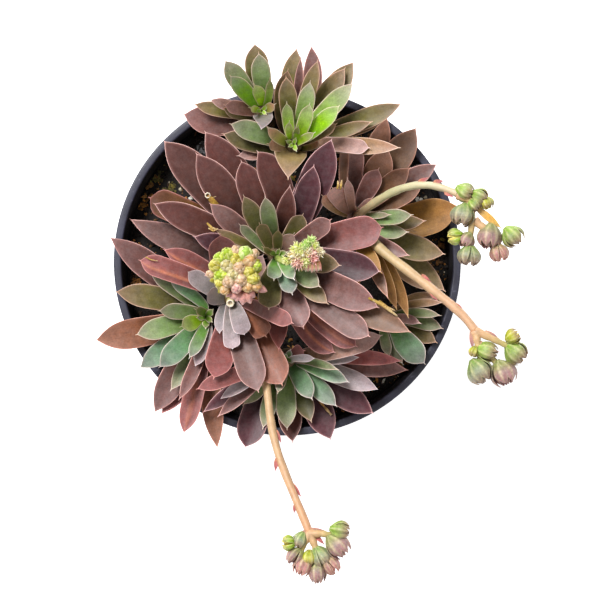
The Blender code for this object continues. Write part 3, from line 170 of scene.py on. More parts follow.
# Every leaf as it lies: rosette and number, then in mm the tip, the last seen point toward its heart, and the
# width, then the tone. The plan is as seen at rim height from above. Lowest leaves come first.
LEAVES = (
    ("front_right_1", 64, -34.5, 50, -26.5, 7, "olive"),
    ("front_right_2", 66.5, -28.5, 49.5, -22.5, 6.5, "sage"),
    ("front_right_3", 49.5, -43.5, 43.5, -33.5, 5.2, "sage"),
    ("front_right_4", 59, -43.5, 44, -27.5, 10.8, "teal"),
    ("front_right_5", 44, -40.3, 40.7, -30.5, 4.6, "sage"),
    ("front_right_6", 66, -15, 51, -12.5, 3.6, "tan"),
    ("front_right_7", 66.5, -17.5, 48.5, -16.8, 3.6, "tan"),
    ("front_right_8", 65.5, -23, 50, -20, 4.2, "sage"),
    ("front_right_9", 57, -26.3, 48.5, -22.6, 4.2, "rose"),
    ("right_1", 43, 61.8, 36.5, 42, 9.8, "brown"),
    ("right_2", 55.3, 57.5, 37, 29, 13.5, "brown"),
    ("right_3", 73.3, 24, 43.5, 11.5, 15.4, "ochre"),
    ("right_4", 43.4, 48.5, 32.2, 24.6, 11.8, "brown"),
    ("right_5", 64.2, 42, 39, 26.7, 9.2, "mauve"),
    ("right_6", 58, 33, 35.7, 21, 8.2, "brown"),
    ("right_7", 52.5, 40.2, 34.8, 25.4, 9, "brown"),
    ("right_8", 30, 49.8, 28.6, 30, 7.2, "mauve"),
    ("right_9", 67.6, -12.2, 51, 3, 9.6, "olive"),
    ("right_10", 61.5, -12, 48.5, -7, 5.2, "tan"),
    ("right_11", 67.3, 3.5, 40, 8.2, 11.2, "olive"),
    ("right_12", 52, -23.2, 47, -6, 6.2, "ochre"),
    ("right_13", 47, -19.8, 41.3, -3.5, 6.2, "ochre"),
    ("right_14", 59, 17.7, 42, 15.5, 6.6, "olive"),
    ("right_15", 51.6, 12.9, 36.5, 12.5, 6.4, "sage"),
    ("right_16", 52, 3, 36.5, 7.3, 6.2, "mauve"),
    ("right_17", 53.4, 20.3, 35.7, 18.1, 6.8, "sage"),
    ("right_18", 43.2, -15, 37.5, -3, 5.4, "brown"),
    ("right_19", 40.4, -4.3, 30.5, 6, 7, "ochre"),
    ("right_20", 39.2, 39.8, 29.6, 22, 8.4, "mauve"),
    ("right_21", 44, 20.4, 34.8, 19.8, 3, "sage"),
    ("right_22", 36.4, 27.5, 31.4, 22.2, 3.4, "rose"),
    ("right_23", 25.2, 50.5, 22.6, 31, 4.2, "brown"),
    ("back_left_1", -44.4, 63.6, -21, 57, 12.4, "mauve"),
    ("back_left_2", -39.7, 68, -20.4, 63, 6.2, "olive"),
    ("back_left_3", -32.8, 69.9, -18.2, 65, 5, "rose"),
    ("back_left_4", -14, 93.7, -11.6, 70, 10.4, "olive"),
    ("back_left_5", -26.6, 86.6, -14.4, 68.6, 9, "sage"),
    ("back_left_6", -27.3, 66.2, -13, 62.6, 6.8, "moss"),
    ("back_left_7", -26.6, 67.6, -15, 65.2, 6.2, "mauve"),
    ("back_left_8", -12.3, 89.7, -9.6, 68.1, 8.4, "sage"),
    ("back_left_9", -24.2, 79.9, -14.5, 69.5, 7.4, "lush"),
    ("back_left_10", -14, 76.3, -9.6, 68.6, 5.4, "bright"),
    ("back_left_11", -7.5, 78.7, -7.2, 69, 3.6, "green"),
    ("left_1", -82.2, -33.6, -42, -26.7, 12.9, "rust"),
    ("left_2", -76, 10.3, -44.1, -13, 12, "mauve"),
    ("left_3", -73.4, -12.9, -42, -17, 10.4, "olive"),
    ("left_4", -54, -65.2, -38, -44, 9.6, "red"),
    ("left_5", -30.2, -79.8, -34.8, -46, 9.2, "rust"),
    ("left_6", -57, -64.5, -40, -33, 11.6, "mauve"),
    ("left_7", -44.6, -73.4, -36.4, -44, 8.8, "red"),
    ("left_8", -63.2, -45.5, -41, -29, 9.5, "teal"),
    ("left_9", -59, -4, -39, -17.7, 6.8, "sage"),
    ("left_10", -64.6, -31.2, -38, -23.7, 9.3, "sage"),
    ("left_11", -50, -54.9, -36.4, -34.5, 7.4, "sage"),
    ("left_12", -46.4, -58.8, -34.8, -37, 6, "mauve"),
    ("left_13", -54.8, -45, -38, -28, 9.5, "teal"),
    ("left_14", -50.4, -7.8, -35, -17.4, 5.4, "teal"),
    ("left_15", -39.6, -44.6, -32.5, -30, 5.2, "lilac"),
    ("left_16", -42, -41, -34.8, -27.6, 5.6, "mint"),
    ("left_17", -54.9, -21.1, -38, -21.4, 7, "sage"),
    ("left_18", -45.5, -27.8, -36.4, -24.4, 7, "bright"),
    ("left_19", -39.4, -20.4, -33.6, -22.6, 4, "green"),
    ("front_1", 2.3, -77.3, -0.4, -53, 10.4, "dark"),
    ("front_2", -18, -79.7, -9.6, -50, 12.6, "maroon"),
    ("front_3", 18.6, -76.2, 8, -50, 12.6, "maroon"),
    ("front_4", 10.2, -68.5, 2, -46.6, 8.2, "moss"),
    ("front_5", -10.4, -71.2, -5, -50, 7, "sage"),
    ("front_6", 36.7, -65, 9, -47.4, 11.4, "maroon"),
    ("front_7", 51.3, -46.5, 14, -42.5, 9.5, "mauve"),
    ("front_8", -18.6, -61.2, -7, -46.6, 7.8, "sage"),
    ("front_9", 38.7, -54.8, 9, -43.6, 8.6, "lilac"),
    ("front_10", 48.6, -42.6, 14, -39, 6.6, "red"),
    ("front_11", -35.8, -64.4, -12, -47, 6.5, "maroon"),
    ("front_12", -29.4, -66.2, -11, -49, 5.8, "mauve"),
    ("front_13", -28.5, -58.8, -10, -46, 5.4, "lilac"),
    ("front_14", -38.4, -54.6, -12, -44.5, 7, "red"),
    ("front_15", -0.1, -71.6, -1, -47.4, 8.8, "sage"),
    ("front_16", 20.9, -61.8, 4.4, -45.4, 8, "teal"),
    ("front_17", 10.5, -58.8, 2.2, -43.8, 8, "teal"),
    ("front_18", 26, -51.6, 5, -42.3, 6.6, "teal"),
    ("front_19", 30.6, -41.2, 10, -42.6, 5.0, "lilac"),
    ("front_20", 40.2, -31.8, 20, -38.5, 9.2, "rose"),
    ("front_21", 21.4, -46.2, 6, -41, 3.8, "sage"),
    ("front_22", 7, -38.3, 1.4, -40, 6.8, "red"),
    ("front_23", -4, -56, -1.6, -46.6, 4.8, "sage"),
    ("front_24", 11.4, -41.6, 3.4, -41.4, 3.4, "lilac"),
    ("mid_left_1", -31.6, -49.7, -25.6, -30, 12, "red"),
    ("mid_left_2", -2.4, -52.6, -18, -24, 14, "rust"),
    ("mid_left_3", -12.6, -55.4, -22.4, -26, 12.6, "mauve"),
    ("crown_1", -67.2, 18.2, -43, 4.5, 12, "mauve"),
    ("crown_2", -59, 27.6, -27, 13.5, 12.4, "curl"),
    ("crown_3", -35.2, 55.8, -12.6, 24.6, 14.8, "dark"),
    ("crown_4", -52.8, 51.8, -22.6, 20.3, 16, "dark"),
    ("crown_5", -39, 46.4, -18.2, 16, 14.4, "dark"),
    ("crown_6", -57, 25, -18.2, 8, 12, "dark"),
    ("crown_7", -39.9, 10.8, -18, 4, 9, "maroon"),
    ("crown_8", -33, 24.9, -13.9, 8, 9.2, "mauve"),
    ("crown_9", -31, 14, -13.9, 5.8, 4.4, "olive"),
    ("back_1", 4, 91.7, -0.4, 68, 9.6, "olive"),
    ("back_2", 0.2, 82.4, -3.8, 64, 8.8, "olive"),
    ("back_3", 10.4, 92.8, 13, 70, 8.4, "mauve"),
    ("back_4", 5.8, 87.6, 4.4, 70, 4, "mauve"),
    ("back_5", 28.3, 86, 13, 63.4, 11, "olive"),
    ("back_6", 24.6, 83.2, 10.7, 62, 9.6, "olive"),
    ("back_7", 13, 86.5, 6.8, 66.4, 7, "olive"),
    ("back_8", -0.5, 79.5, 1.4, 59, 8, "olive"),
    ("back_9", 44, 63.4, 22.7, 54, 6.2, "olive"),
    ("back_10", 48.8, 68, 15, 53.9, 9, "olive"),
    ("back_11", 36, 60.3, 16.3, 53.8, 5.8, "olive"),
    ("back_12", 48, 49.3, 24, 50.6, 7.4, "tan"),
    ("back_13", 34.9, 49.3, 13, 52, 6.6, "rose"),
    ("back_14", -20.9, 45.9, -5, 48, 6, "rose"),
    ("back_15", -27.3, 55.1, -6, 48, 8.4, "moss"),
    ("crown_10", -19.7, 43.2, -9.4, 16, 12.2, "dark"),
    ("crown_11", -12.6, 47.4, 2, 31, 13, "dark"),
    ("crown_12", 19, 52.5, 9, 24, 14.6, "maroon"),
    ("right_24", 15.4, 28.4, 22.4, 21.5, 5.8, "tan"),
    ("right_25", 19.6, 31.8, 25.2, 22.8, 8.0, "rose"),
    ("right_26", 26, 35.5, 27.6, 24, 4.2, "rose"),
    ("back_16", -24.1, 59.4, -2, 52, 8.8, "sage"),
    ("back_left_13", -11.2, 57.4, -10, 62, 8.6, "lilac"),
    ("back_left_12", -5.6, 67.9, -9.4, 65.4, 4.2, "fresh"),
    ("back_left_14", -15.8, 66.4, -13.2, 65.6, 3.2, "bright"),
    ("back_17", 9.8, 77.4, 5.5, 56, 7.6, "dew"),
    ("back_18", 28, 76.8, 8.9, 56.5, 8.6, "dew"),
    ("back_23", 0.4, 36.4, 0.8, 47.0, 14.2, "tan"),
    ("back_25", -7.9, 50.9, -1.5, 49.4, 5.2, "tan"),
    ("back_26", 13.2, 52.6, 7.4, 49.0, 5.6, "fresh"),
    ("back_22", 20.8, 59.4, 10, 52.6, 5.2, "olive"),
    ("back_24", -8.3, 57.8, -2.5, 51.6, 5.0, "fresh"),
    ("back_19", -0.2, 68.3, 0.4, 56, 5.2, "bright"),
    ("back_20", 22, 67, 6.8, 52.6, 7.2, "bright"),
    ("back_21", 9.6, 67.9, 6.2, 55, 6.2, "bright"),
    ("back_29", 11.4, 55.6, 6.4, 52.6, 3.6, "bright"),
    ("back_27", 0.9, 60.2, 0.2, 54.6, 3.4, "bright"),
    ("back_28", 4.6, 58.2, 3.2, 54.0, 2.8, "green"),
    ("crown_13", 11.4, 41.2, 6, 14, 11, "maroon"),
    ("crown_14", -18.6, 28.2, -9.6, 9.5, 8.2, "moss"),
    ("crown_15", 1.1, 32.6, -1.8, 11.6, 8.8, "dark"),
    ("crown_16", -9.5, 27.7, -6.2, 8.6, 7.2, "sage"),
    ("crown_17", 40.6, 14.8, 10, 8, 13.8, "red"),
    ("crown_18", 39.5, -4, 11.9, 1, 12.9, "maroon"),
    ("crown_19", -3.6, -37.5, -4.6, -20, 9.4, "wine"),
    ("crown_20", 20, -38.8, 4, -31, 9.2, "red"),
    ("crown_21", 29.6, -36.2, 7, -22.5, 9.5, "red"),
    ("crown_22", 52.6, -30, 20, -15.5, 12.2, "brown"),
    ("crown_23", 35, -31.8, 6.6, -14.4, 11, "mauve"),
    ("crown_24", 38.8, -19.4, 8.9, -6.9, 13.2, "mauve"),
    ("crown_25", 6.8, -28, -1.6, -9.9, 12, "mauve"),
    ("mid_left_5", -9.4, -31.8, -17.2, -21, 9.2, "rust"),
    ("mid_left_4", 2.0, -26.2, -12.5, -19.4, 7.2, "red"),
    ("mid_left_6", -52.8, 5.2, -31, -4, 8.6, "red"),
    ("mid_left_7", -63.2, 0.6, -32.5, -9.4, 9.5, "red"),
    ("mid_left_8", -28.8, 11.3, -26, -10, 12, "red"),
    ("mid_left_9", -10.7, 2.6, -19, -12, 9, "rose"),
    ("mid_left_10", -42.6, -4.4, -28.4, -15, 7.6, "lilac"),
    ("mid_left_11", -34.4, -13.6, -27.6, -16.4, 7.8, "lilac"),
    ("mid_left_12", -29.2, -30.6, -29.6, -22.4, 5.2, "lilac"),
    ("mid_left_13", -23.6, -37.3, -25.2, -25, 7.2, "lilac"),
    ("mid_left_14", -18.6, -31.2, -22.0, -21, 7.8, "lilac"),
    ("crown_26", 6.6, 20.2, -0.6, 6, 8, "moss"),
    ("crown_27", 18.4, 18, 1, 5.4, 8.2, "mauve"),
    ("crown_28", -7.9, -19.8, -6.9, -1.3, 10.2, "moss"),
    ("crown_29", 17.2, -17.7, -0.6, -2.6, 8, "olive"),
    ("crown_30", 22.4, -1.4, 1.4, 1.4, 9, "olive"),
    ("crown_31", 13.7, -10.4, -1, 0.2, 8.4, "sage"),
    ("crown_32", -20.2, 15.8, -9.6, 5, 4.6, "sage"),
    ("crown_33", -11.8, 16.2, -6.8, 5.4, 5.8, "moss"),
    ("crown_34", 2.6, 11.9, -2.6, 5, 6.4, "rose"),
    ("crown_35", 2, -13.4, -3, 0.2, 7.6, "teal"),
    ("crown_36", -5.7, -7.2, -5.2, 0.8, 6.4, "mint"),
    ("crown_37", -4, 13.6, -4.2, 5.4, 4.6, "moss"),
    ("crown_38", 2.8, -7.2, -2.6, 1.2, 5.4, "mint"),
    ("crown_39", -10.3, 6.2, -6, 2.6, 2.8, "moss"),
)

# Flower stalks: rosette, the leaf that lies over them, thickness at foot and end, how far the end stands
# above the foot, and the plan of the stalk from its foot, in mm.
STALKS = {
    "stalk_right_back": ("right", "back_left_1", 3.4, 2.8, 14.0,
        ((30, 19.8), (33.4, 22.4), (38, 26.2), (44, 29.8), (50, 32.3), (56, 33.5), (62, 33.5), (68, 32),
         (73.6, 29.2))),
    "stalk_front": ("mid_left", "mid_left_1", 3.4, 3.2, 12.0,
        ((-21, -21), (-14, -33), (-10, -44), (-8.6, -54), (-8, -64), (-6.4, -75), (-3.8, -84),
         (-0.6, -92), (2.6, -100), (5.6, -107), (8, -112.6), (9.6, -117))),
    "stalk_right_long": ("right", "crown_10", 4.2, 3.4, 10.0,
        ((30.6, 17), (34, 11.6), (38, 7.3), (43, 3), (49, -1.5), (57.2, -7.6), (65, -14), (70.4, -18),
         (75, -22), (78.6, -26), (81, -29.6))),
    "stalk_crown": ("crown", "", 2.6, 2.2, 7.0, ((-4.2, 1.6), (-2, -0.4), (2, 0), (5.4, 1.6))),
    "stalk_mid": ("mid_left", "", 3.4, 3.0, 42.0, ((-23.6, -13.2), (-23.2, -10), (-22.7, -7), (-22.4, -5))),
}

# Bracts along the stalks: stalk, then plan of root and tip, and width, in mm.
BRACTS = (
    ("stalk_front", -4.6, -73.0, -2.2, -79.2, 2.6),
    ("stalk_front", -4.8, -85.0, -5.2, -91.4, 2.8),
    ("stalk_front", 1.8, -95.6, 7.0, -102.6, 3.0),
    ("stalk_front", 3.4, -104.4, 2.8, -109.2, 2.4),
    ("stalk_right_long", 58.6, -5.6, 62.6, -9.4, 2.4),
    ("stalk_right_long", 61.6, -12.8, 65.4, -17.4, 2.6),
    ("stalk_right_long", 73.0, -18.2, 76.6, -21.6, 2.4),
    ("stalk_right_back", 57.2, 35.0, 61.4, 36.6, 2.4),
    ("stalk_right_back", 64.0, 35.0, 68.4, 34.9, 2.2),
    ("stalk_right_back", 68.0, 29.6, 72.6, 27.6, 2.2),
)

# Branches of those heads, as plan points from the stalk's end, in mm.
BRANCHES = {
    "stalk_front": (
        ((9.6, -117.4), (6.4, -121.4), (5.4, -127)), ((9.6, -117.4), (12.6, -122), (13, -130)),
        ((9.6, -117.4), (15, -116.6), (21, -118.4)),
    ),
    "stalk_right_long": (
        ((81, -30), (82.4, -35.6), (83, -42)), ((82.4, -35.6), (88.6, -41), (91, -45)),
        ((81, -30), (88, -32.4), (94, -36.4), (97.6, -37)),
    ),
    "stalk_right_back": (
        ((73.6, 28.8), (78.6, 26.4), (83, 25.6)), ((78.6, 26.4), (80.8, 18), (78.4, 10), (78.4, 5)),
        ((80.8, 18), (86, 12.6), (93.6, 10.6)),
    ),
}


# Leaf colours, sRGB from 0 to 255: foot, middle, tip, margin, and the share of pale wax on the skin. The dark foot
# colours are partly the leaf's own colour toward its foot and partly painted shade where the feet lie deep under other
# leaves.
TONES = {
    "dark": ((30, 16, 9), (72, 38, 30), (88, 50, 46), (224, 180, 172), 0.05),
    "maroon": ((26, 12, 14), (62, 30, 36), (80, 44, 50), (222, 176, 176), 0.08),
    "wine": ((12, 5, 5), (58, 14, 12), (116, 58, 50), (206, 140, 130), 0.04),
    "mauve": ((46, 26, 18), (96, 62, 55), (122, 88, 84), (226, 176, 168), 0.14),
    "brown": ((50, 30, 10), (98, 68, 44), (118, 84, 68), (212, 162, 142), 0.08),
    "curl": ((30, 16, 6), (108, 70, 20), (96, 60, 46), (190, 130, 124), 0.05),
    "rust": ((62, 32, 14), (124, 74, 50), (144, 96, 78), (226, 166, 146), 0.08),
    "red": ((54, 24, 20), (118, 64, 58), (140, 86, 84), (230, 164, 158), 0.14),
    "ochre": ((74, 46, 4), (138, 98, 36), (152, 108, 64), (220, 172, 120), 0.04),
    "olive": ((54, 52, 6), (98, 92, 40), (128, 106, 80), (222, 182, 160), 0.1),
    "moss": ((38, 42, 4), (76, 76, 32), (104, 94, 64), (214, 178, 158), 0.06),
    "sage": ((70, 98, 10), (110, 130, 78), (132, 130, 106), (230, 206, 190), 0.15),
    "teal": ((66, 112, 34), (102, 138, 100), (112, 118, 108), (228, 212, 204), 0.2),
    "mint": ((74, 130, 14), (92, 132, 50), (134, 144, 122), (236, 220, 212), 0.14),
    "lush": ((108, 166, 0), (104, 142, 20), (132, 140, 110), (228, 204, 184), 0.1),
    "dew": ((110, 164, 8), (122, 152, 70), (148, 148, 126), (232, 206, 192), 0.15),
    "tan": ((106, 82, 28), (150, 122, 78), (160, 124, 104), (232, 198, 176), 0.12),
    "rose": ((104, 76, 40), (152, 114, 100), (170, 134, 128), (236, 202, 194), 0.2),
    "lilac": ((84, 78, 64), (140, 132, 130), (164, 148, 152), (232, 214, 214), 0.3),
    "green": ((86, 138, 2), (108, 150, 28), (132, 144, 88), (228, 210, 184), 0.1),
    "bright": ((112, 168, 0), (140, 184, 10), (168, 184, 120), (232, 216, 190), 0.05),
    "fresh": ((104, 150, 4), (150, 152, 60), (188, 146, 120), (244, 226, 204), 0.05),
}
# Leaves whose keel shows as a raised ridge with an orange line along its top, partly the keel's own colour and partly a
# painted highlight: its place across the leaf, from -1 to 1
KEELS = {
    "mid_left_5": -0.25,
    "mid_left_6": 0.3,
    "mid_left_7": 0.3,
    "crown_20": -0.1,
    "crown_21": -0.25,
    "left_7": 0.0,
}
# Leaves that light shines through or falls on more than on their neighbours: by how much
LIT = {
    "back_left_1": 1.3,
    "back_left_6": 1.3,
    "back_left_7": 1.5,
    "back_left_10": 1.8,
    "back_left_11": 1.6,
    "back_left_12": 1.2,
    "back_left_14": 1.4,
    "back_27": 1.3,
    "crown_28": 1.3,
    "crown_33": 1.4,
    "crown_37": 1.5,
    "crown_39": 1.3,
    "front_7": 1.4,
    "front_8": 1.4,
    "front_10": 1.5,
    "front_15": 1.2,
    "front_17": 1.2,
    "front_18": 1.5,
    "left_10": 1.3,
    "left_14": 1.4,
    "right_8": 1.5,
    "right_20": 1.2,
    "right_21": 1.2,
    "right_22": 1.3,
    "right_24": 1.5,
    "right_25": 1.5,
    "right_26": 1.4,
}
# The youngest leaves, in the middle of each rosette: how many, reach, width and tone
YOUNG = {
    "crown": (4, 4.0, 2.6, "green"),
    "mid_left": (4, 4.0, 2.6, "lilac"),
    "left": (5, 5.0, 3.4, "green"),
    "front": (4, 4.0, 2.8, "mint"),
    "back": (4, 3.2, 2.2, "bright"),
    "back_left": (4, 3.2, 2.2, "bright"),
    "right": (4, 3.6, 2.4, "rose"),
    "front_right": (4, 3.4, 2.2, "sage"),
}
AROUND = 26
MUCRO = 1.1
MUCRO_RADIUS = 0.2

# Bud colours, sRGB: where the bud starts, its middle and its tip
BUD_TONES = {
    "green": ((124, 158, 46), (136, 150, 80), (146, 112, 96)),
    "grey": ((120, 146, 70), (138, 142, 112), (152, 120, 106)),
    "mauve": ((128, 134, 74), (148, 116, 112), (166, 118, 118)),
    "pink": ((150, 130, 84), (172, 122, 116), (188, 128, 122)),
    "bright": ((144, 182, 34), (150, 176, 54), (168, 166, 92)),
    "open": ((150, 160, 20), (170, 168, 54), (150, 118, 88)),
    "yellow": ((150, 140, 20), (190, 178, 50), (208, 190, 96)),
    "lime": ((116, 146, 10), (148, 172, 28), (178, 186, 76)),
    "pale_lime": ((120, 152, 18), (150, 180, 64), (184, 198, 124)),
    "straw": ((130, 118, 14), (168, 158, 44), (192, 180, 88)),
    "cream": ((130, 112, 40), (172, 158, 102), (204, 190, 150)),
    "blush": ((140, 104, 50), (184, 148, 112), (204, 170, 146)),
    "peach": ((160, 108, 36), (190, 144, 86), (210, 172, 130)),
    "rosy": ((160, 100, 84), (200, 144, 136), (214, 166, 158)),
    "spike_green": ((104, 150, 30), (146, 190, 66), (210, 220, 156)),
    "spike_yellow": ((140, 146, 30), (184, 194, 70), (226, 224, 170)),
    "spike_cream": ((128, 92, 36), (194, 174, 112), (236, 228, 200)),
    "spike_pink": ((150, 100, 60), (206, 154, 132), (230, 190, 180)),
    "spike_rose": ((166, 104, 70), (208, 140, 128), (224, 170, 164)),
}
# Buds at the ends of the arching stalks: plan of the middle, length and radius in mm, the way it points in plan
# in degrees, and tone
TUFTS = {
    "stalk_right_back": (
        (76.2, 30.3, 7.4, 3.6, 325, "green"), (82.6, 28.4, 7.0, 3.3, 330, "green"), (85.8, 25.6, 5.4, 2.6, 290, "open"),
        (75.9, 20.6, 9.4, 4.7, 255, "grey"), (80.4, 24.6, 5.4, 2.6, 310, "green"), (72.8, 11.0, 6.6, 2.9, 190, "bright"),
        (77.3, 9.7, 6.6, 3.2, 240, "mauve"), (78.6, 3.2, 8.6, 4.4, 265, "grey"), (87.2, 11.4, 10.6, 4.8, 262, "mauve"),
        (91.3, 4.4, 7.6, 3.6, 285, "pink"), (97.0, 11.4, 8.8, 4.2, 310, "green"),
    ),
    "stalk_right_long": (
        (97.0, -32.4, 6.0, 2.9, 30, "open"), (98.2, -38.9, 9.6, 4.6, 318, "green"), (85.5, -38.5, 9.6, 3.7, 340, "green"),
        (82.7, -46.7, 10.6, 5.0, 305, "grey"), (92.9, -47.5, 10.6, 5.1, 295, "mauve"), (80.6, -38.6, 4.4, 1.7, 250, "open"),
    ),
    "stalk_front": (
        (0.9, -121.2, 5.8, 2.7, 180, "bright"), (5.7, -119.8, 6.6, 2.9, 250, "grey"), (3.8, -126.8, 8.0, 3.2, 235, "mauve"),
        (6.9, -130.3, 9.0, 3.6, 250, "pink"), (9.6, -127.4, 6.2, 3.3, 270, "open"), (14.3, -126.8, 9.0, 3.7, 300, "grey"),
        (13.1, -133.4, 9.6, 3.3, 275, "mauve"), (18.5, -130.3, 8.6, 3.1, 305, "pink"), (21.3, -122.1, 10.6, 4.6, 315, "mauve"),
        (22.5, -115.7, 8.0, 3.5, 350, "green"),
    ),
}
# Bracts at the forks of those heads: stalk, then plan of root and tip, and width, in mm, and tone
HEAD_BRACTS = (
    ("stalk_right_long", 79.4, -31.0, 80.1, -39.2, 2.8, "mauve"),
    ("stalk_right_long", 86.2, -30.4, 92.6, -33.8, 2.8, "mauve"),
    ("stalk_right_long", 88.0, -37.8, 92.0, -39.0, 1.8, "red"),
    ("stalk_front", 11.8, -117.6, 17.1, -122.9, 2.8, "red"),
    ("stalk_front", 10.6, -115.2, 19.6, -117.0, 2.4, "mauve"),
    ("stalk_front", 7.4, -116.4, 3.4, -119.4, 2.8, "mauve"),
    ("stalk_right_back", 83.4, 22.0, 95.0, 12.4, 4.6, "amber"),
)
BRACT_TONES = {
    "red": ((190, 132, 96), (176, 98, 92), (150, 78, 88)),
    "mauve": ((188, 148, 124), (166, 124, 118), (150, 110, 112)),
    "amber": ((200, 166, 104), (208, 158, 70), (176, 148, 64)),
}
# Buds of the tall middle head: plan of the tip and radius in mm, and tone
DOME = (
    (-26.3, 4.7, 3.0, "lime"), (-17.6, 5.0, 3.7, "pale_lime"), (-15.3, 1.4, 3.2, "peach"),
    (-32.7, -1.3, 2.8, "straw"), (-29.8, -5.7, 3.7, "lime"), (-29.8, -9.9, 2.8, "straw"),
    (-26.6, -1.2, 3.2, "cream"), (-20.4, -2.2, 3.0, "blush"), (-23.6, -5.7, 2.8, "cream"),
    (-19.7, -8.4, 2.9, "blush"), (-15.4, -4.0, 3.0, "straw"), (-13.4, -7.6, 2.8, "straw"),
    (-12.2, -10.9, 2.6, "peach"), (-22.0, 2.4, 3.1, "straw"), (-22.2, 6.2, 2.2, "blush"),
    (-30.4, 2.6, 2.6, "lime"), (-13.2, 4.6, 2.1, "blush"), (-12.0, -1.4, 2.2, "lime"),
    (-25.8, -9.2, 2.8, "blush"), (-16.4, -11.6, 2.6, "peach"), (-22.0, -12.0, 2.5, "rosy"),
    (-34.4, -5.2, 1.8, "blush"), (-27.6, -13.0, 2.1, "peach"),
)
# Pink bracts at its lower edge: plan from foot to tip, and half width in mm
DOME_BRACTS = (
    ((-18.8, -12.6), (-19.3, -18.6), 1.9), ((-18.0, -12.8), (-15.7, -18.0), 1.8), ((-19.4, -13.0), (-24.8, -15.6), 1.8),
    ((-17.6, -12.4), (-13.8, -15.2), 1.8), ((-13.6, -10.8), (-8.6, -12.7), 1.6), ((-32.0, -5.0), (-35.6, -5.9), 0.9),
    ((-24.0, -12.4), (-26.4, -15.2), 1.0), ((-20.0, -12.8), (-22.2, -17.0), 1.6),
)
# Tufts of fine pointed sepals of the small crown head: plan and radius in mm, tone, and whether there is a brown
# hollow in the middle
SPIKES = (
    (7.6, 7.4, 2.3, "spike_green", False), (9.2, 9.0, 2.4, "spike_green", False), (10.9, 10.6, 2.1, "spike_green", False),
    (3.4, 6.6, 3.3, "spike_yellow", False), (1.5, 2.2, 3.0, "spike_cream", True), (6.8, 2.8, 3.0, "spike_cream", True),
    (12.4, 4.0, 3.2, "spike_pink", False), (15.4, 4.4, 2.4, "spike_cream", False), (4.1, -1.2, 2.9, "spike_pink", False),
    (-1.7, 0.4, 2.0, "spike_yellow", False), (13.0, 7.4, 2.2, "spike_yellow", False), (8.2, -0.6, 2.4, "spike_yellow", False),
    (12.6, 0.6, 2.6, "spike_rose", False), (5.4, 4.8, 1.8, "spike_yellow", False), (9.8, 5.4, 2.0, "spike_cream", False),
)
# Dry shreds: plan from end to end, radius in mm, and how far they lie above what is below them
SHREDS = (
    ((-34.6, 16.8), (-32.4, 14.6), (-30.4, 14.2), 0.4, 0.6), ((-34.0, 14.6), (-31.8, 13.4), (-29.8, 14.4), 0.3, 0.8),
    ((21.6, 31.4), (22.0, 33.2), (21.8, 35.0), 0.35, 0.8), ((22.8, 31.2), (23.2, 33.0), (23.6, 35.4), 0.35, 0.8),
    ((35.0, -15.5), (41.0, -18.4), (47.5, -23.4), 0.5, 0.6), ((39.6, -16.6), (43.4, -19.6), (46.6, -21.0), 0.3, 0.8),
    ((-61.2, 2.2), (-58.8, 1.0), (-55.8, 0.4), 0.18, 0.3), ((-34.0, 28.2), (-32.6, 27.6), (-30.6, 28.4), 0.12, 1.6),
)
# Stalk colours, sRGB, from foot to end
STALK_TONES = {
    "stalk_right_back": ((166, 134, 104), (176, 170, 128), (190, 180, 146), (196, 172, 138)),
    "stalk_right_long": ((140, 126, 84), (188, 162, 120), (196, 156, 122), (200, 158, 122)),
    "stalk_front": ((160, 142, 100), (186, 156, 116), (190, 150, 112), (190, 142, 104)),
    "stalk_crown": ((140, 160, 70), (170, 176, 96), (190, 186, 110), (190, 186, 110)),
    "stalk_mid": ((150, 150, 100), (176, 166, 120), (190, 176, 120), (190, 180, 120)),
}


def cells(x, y):
    """Cells of the height map under plan positions."""
    last = int(2 * REACH / CELL) - 1
    i = np.clip(((np.asarray(x) + REACH) / CELL).astype(int), 0, last)
    j = np.clip(((np.asarray(y) + REACH) / CELL).astype(int), 0, last)
    return i, j


def empty_map():
    """The height map before any leaf is laid: soil inside the pot, the rim round it, nothing beyond."""
    n = int(2 * REACH / CELL)
    axis = (np.arange(n) + 0.5) * CELL - REACH
    x, y = np.meshgrid(axis, axis, indexing="ij")
    r = np.hypot(x, y)
    top = np.full((n, n), -200.0)
    top[r < RIM_RADIUS] = -SOIL_DEPTH
    top[(r > RIM_RADIUS - RIM_WIDTH - 1.0) & (r < RIM_RADIUS + 0.8)] = 0.0
    return top


def outline(s, widest, foot_share, bluntness):
    """Half width along a leaf as a share of the greatest."""
    inner = foot_share + (1 - foot_share) * np.sin(np.pi / 2 * np.clip(s / widest, 0, 1))
    outer = 1 - np.clip((s - widest) / (1 - widest), 0, 1) ** bluntness
    return np.where(s < widest, inner, outer)


def evenly(line, s):
    """Points of a polyline at shares of its plan length."""
    steps = np.hypot(*np.diff(line[:, :2], axis=0).T)
    along = np.concatenate([[0], np.cumsum(steps)])
    along /= along[-1]
    return np.stack([np.interp(s, along, column) for column in line.T], 1)


def bent(first, middle, last, s):
    """A line from first to last that bends toward middle."""
    t = np.linspace(0, 1, 60)[:, None]
    return evenly((1 - t) ** 2 * first + 2 * t * (1 - t) * middle + t**2 * last, s)


def sideways(line):
    """Unit vector to the left of a plan line, at each of its points."""
    run = np.gradient(line[:, :2], axis=0)
    run /= np.hypot(*run.T)[:, None]
    return np.stack([-run[:, 1], run[:, 0]], 1)


def tip_rise(reach):
    """How far a leaf's tip stands above its foot, from its plan length: young, short ones stand up."""
    return 2.5 + 15.0 * np.exp(-((reach / 26.0) ** 2))


def section(u, half, thick):
    """Upper and lower side of a leaf's cross-section at u, from -1 to 1, above its middle line."""
    cup = 0.16 * half * u**2
    return cup, cup - thick * (1 - u**2) ** 0.7


def rosette_of(name):
    return name.rsplit("_", 1)[0]


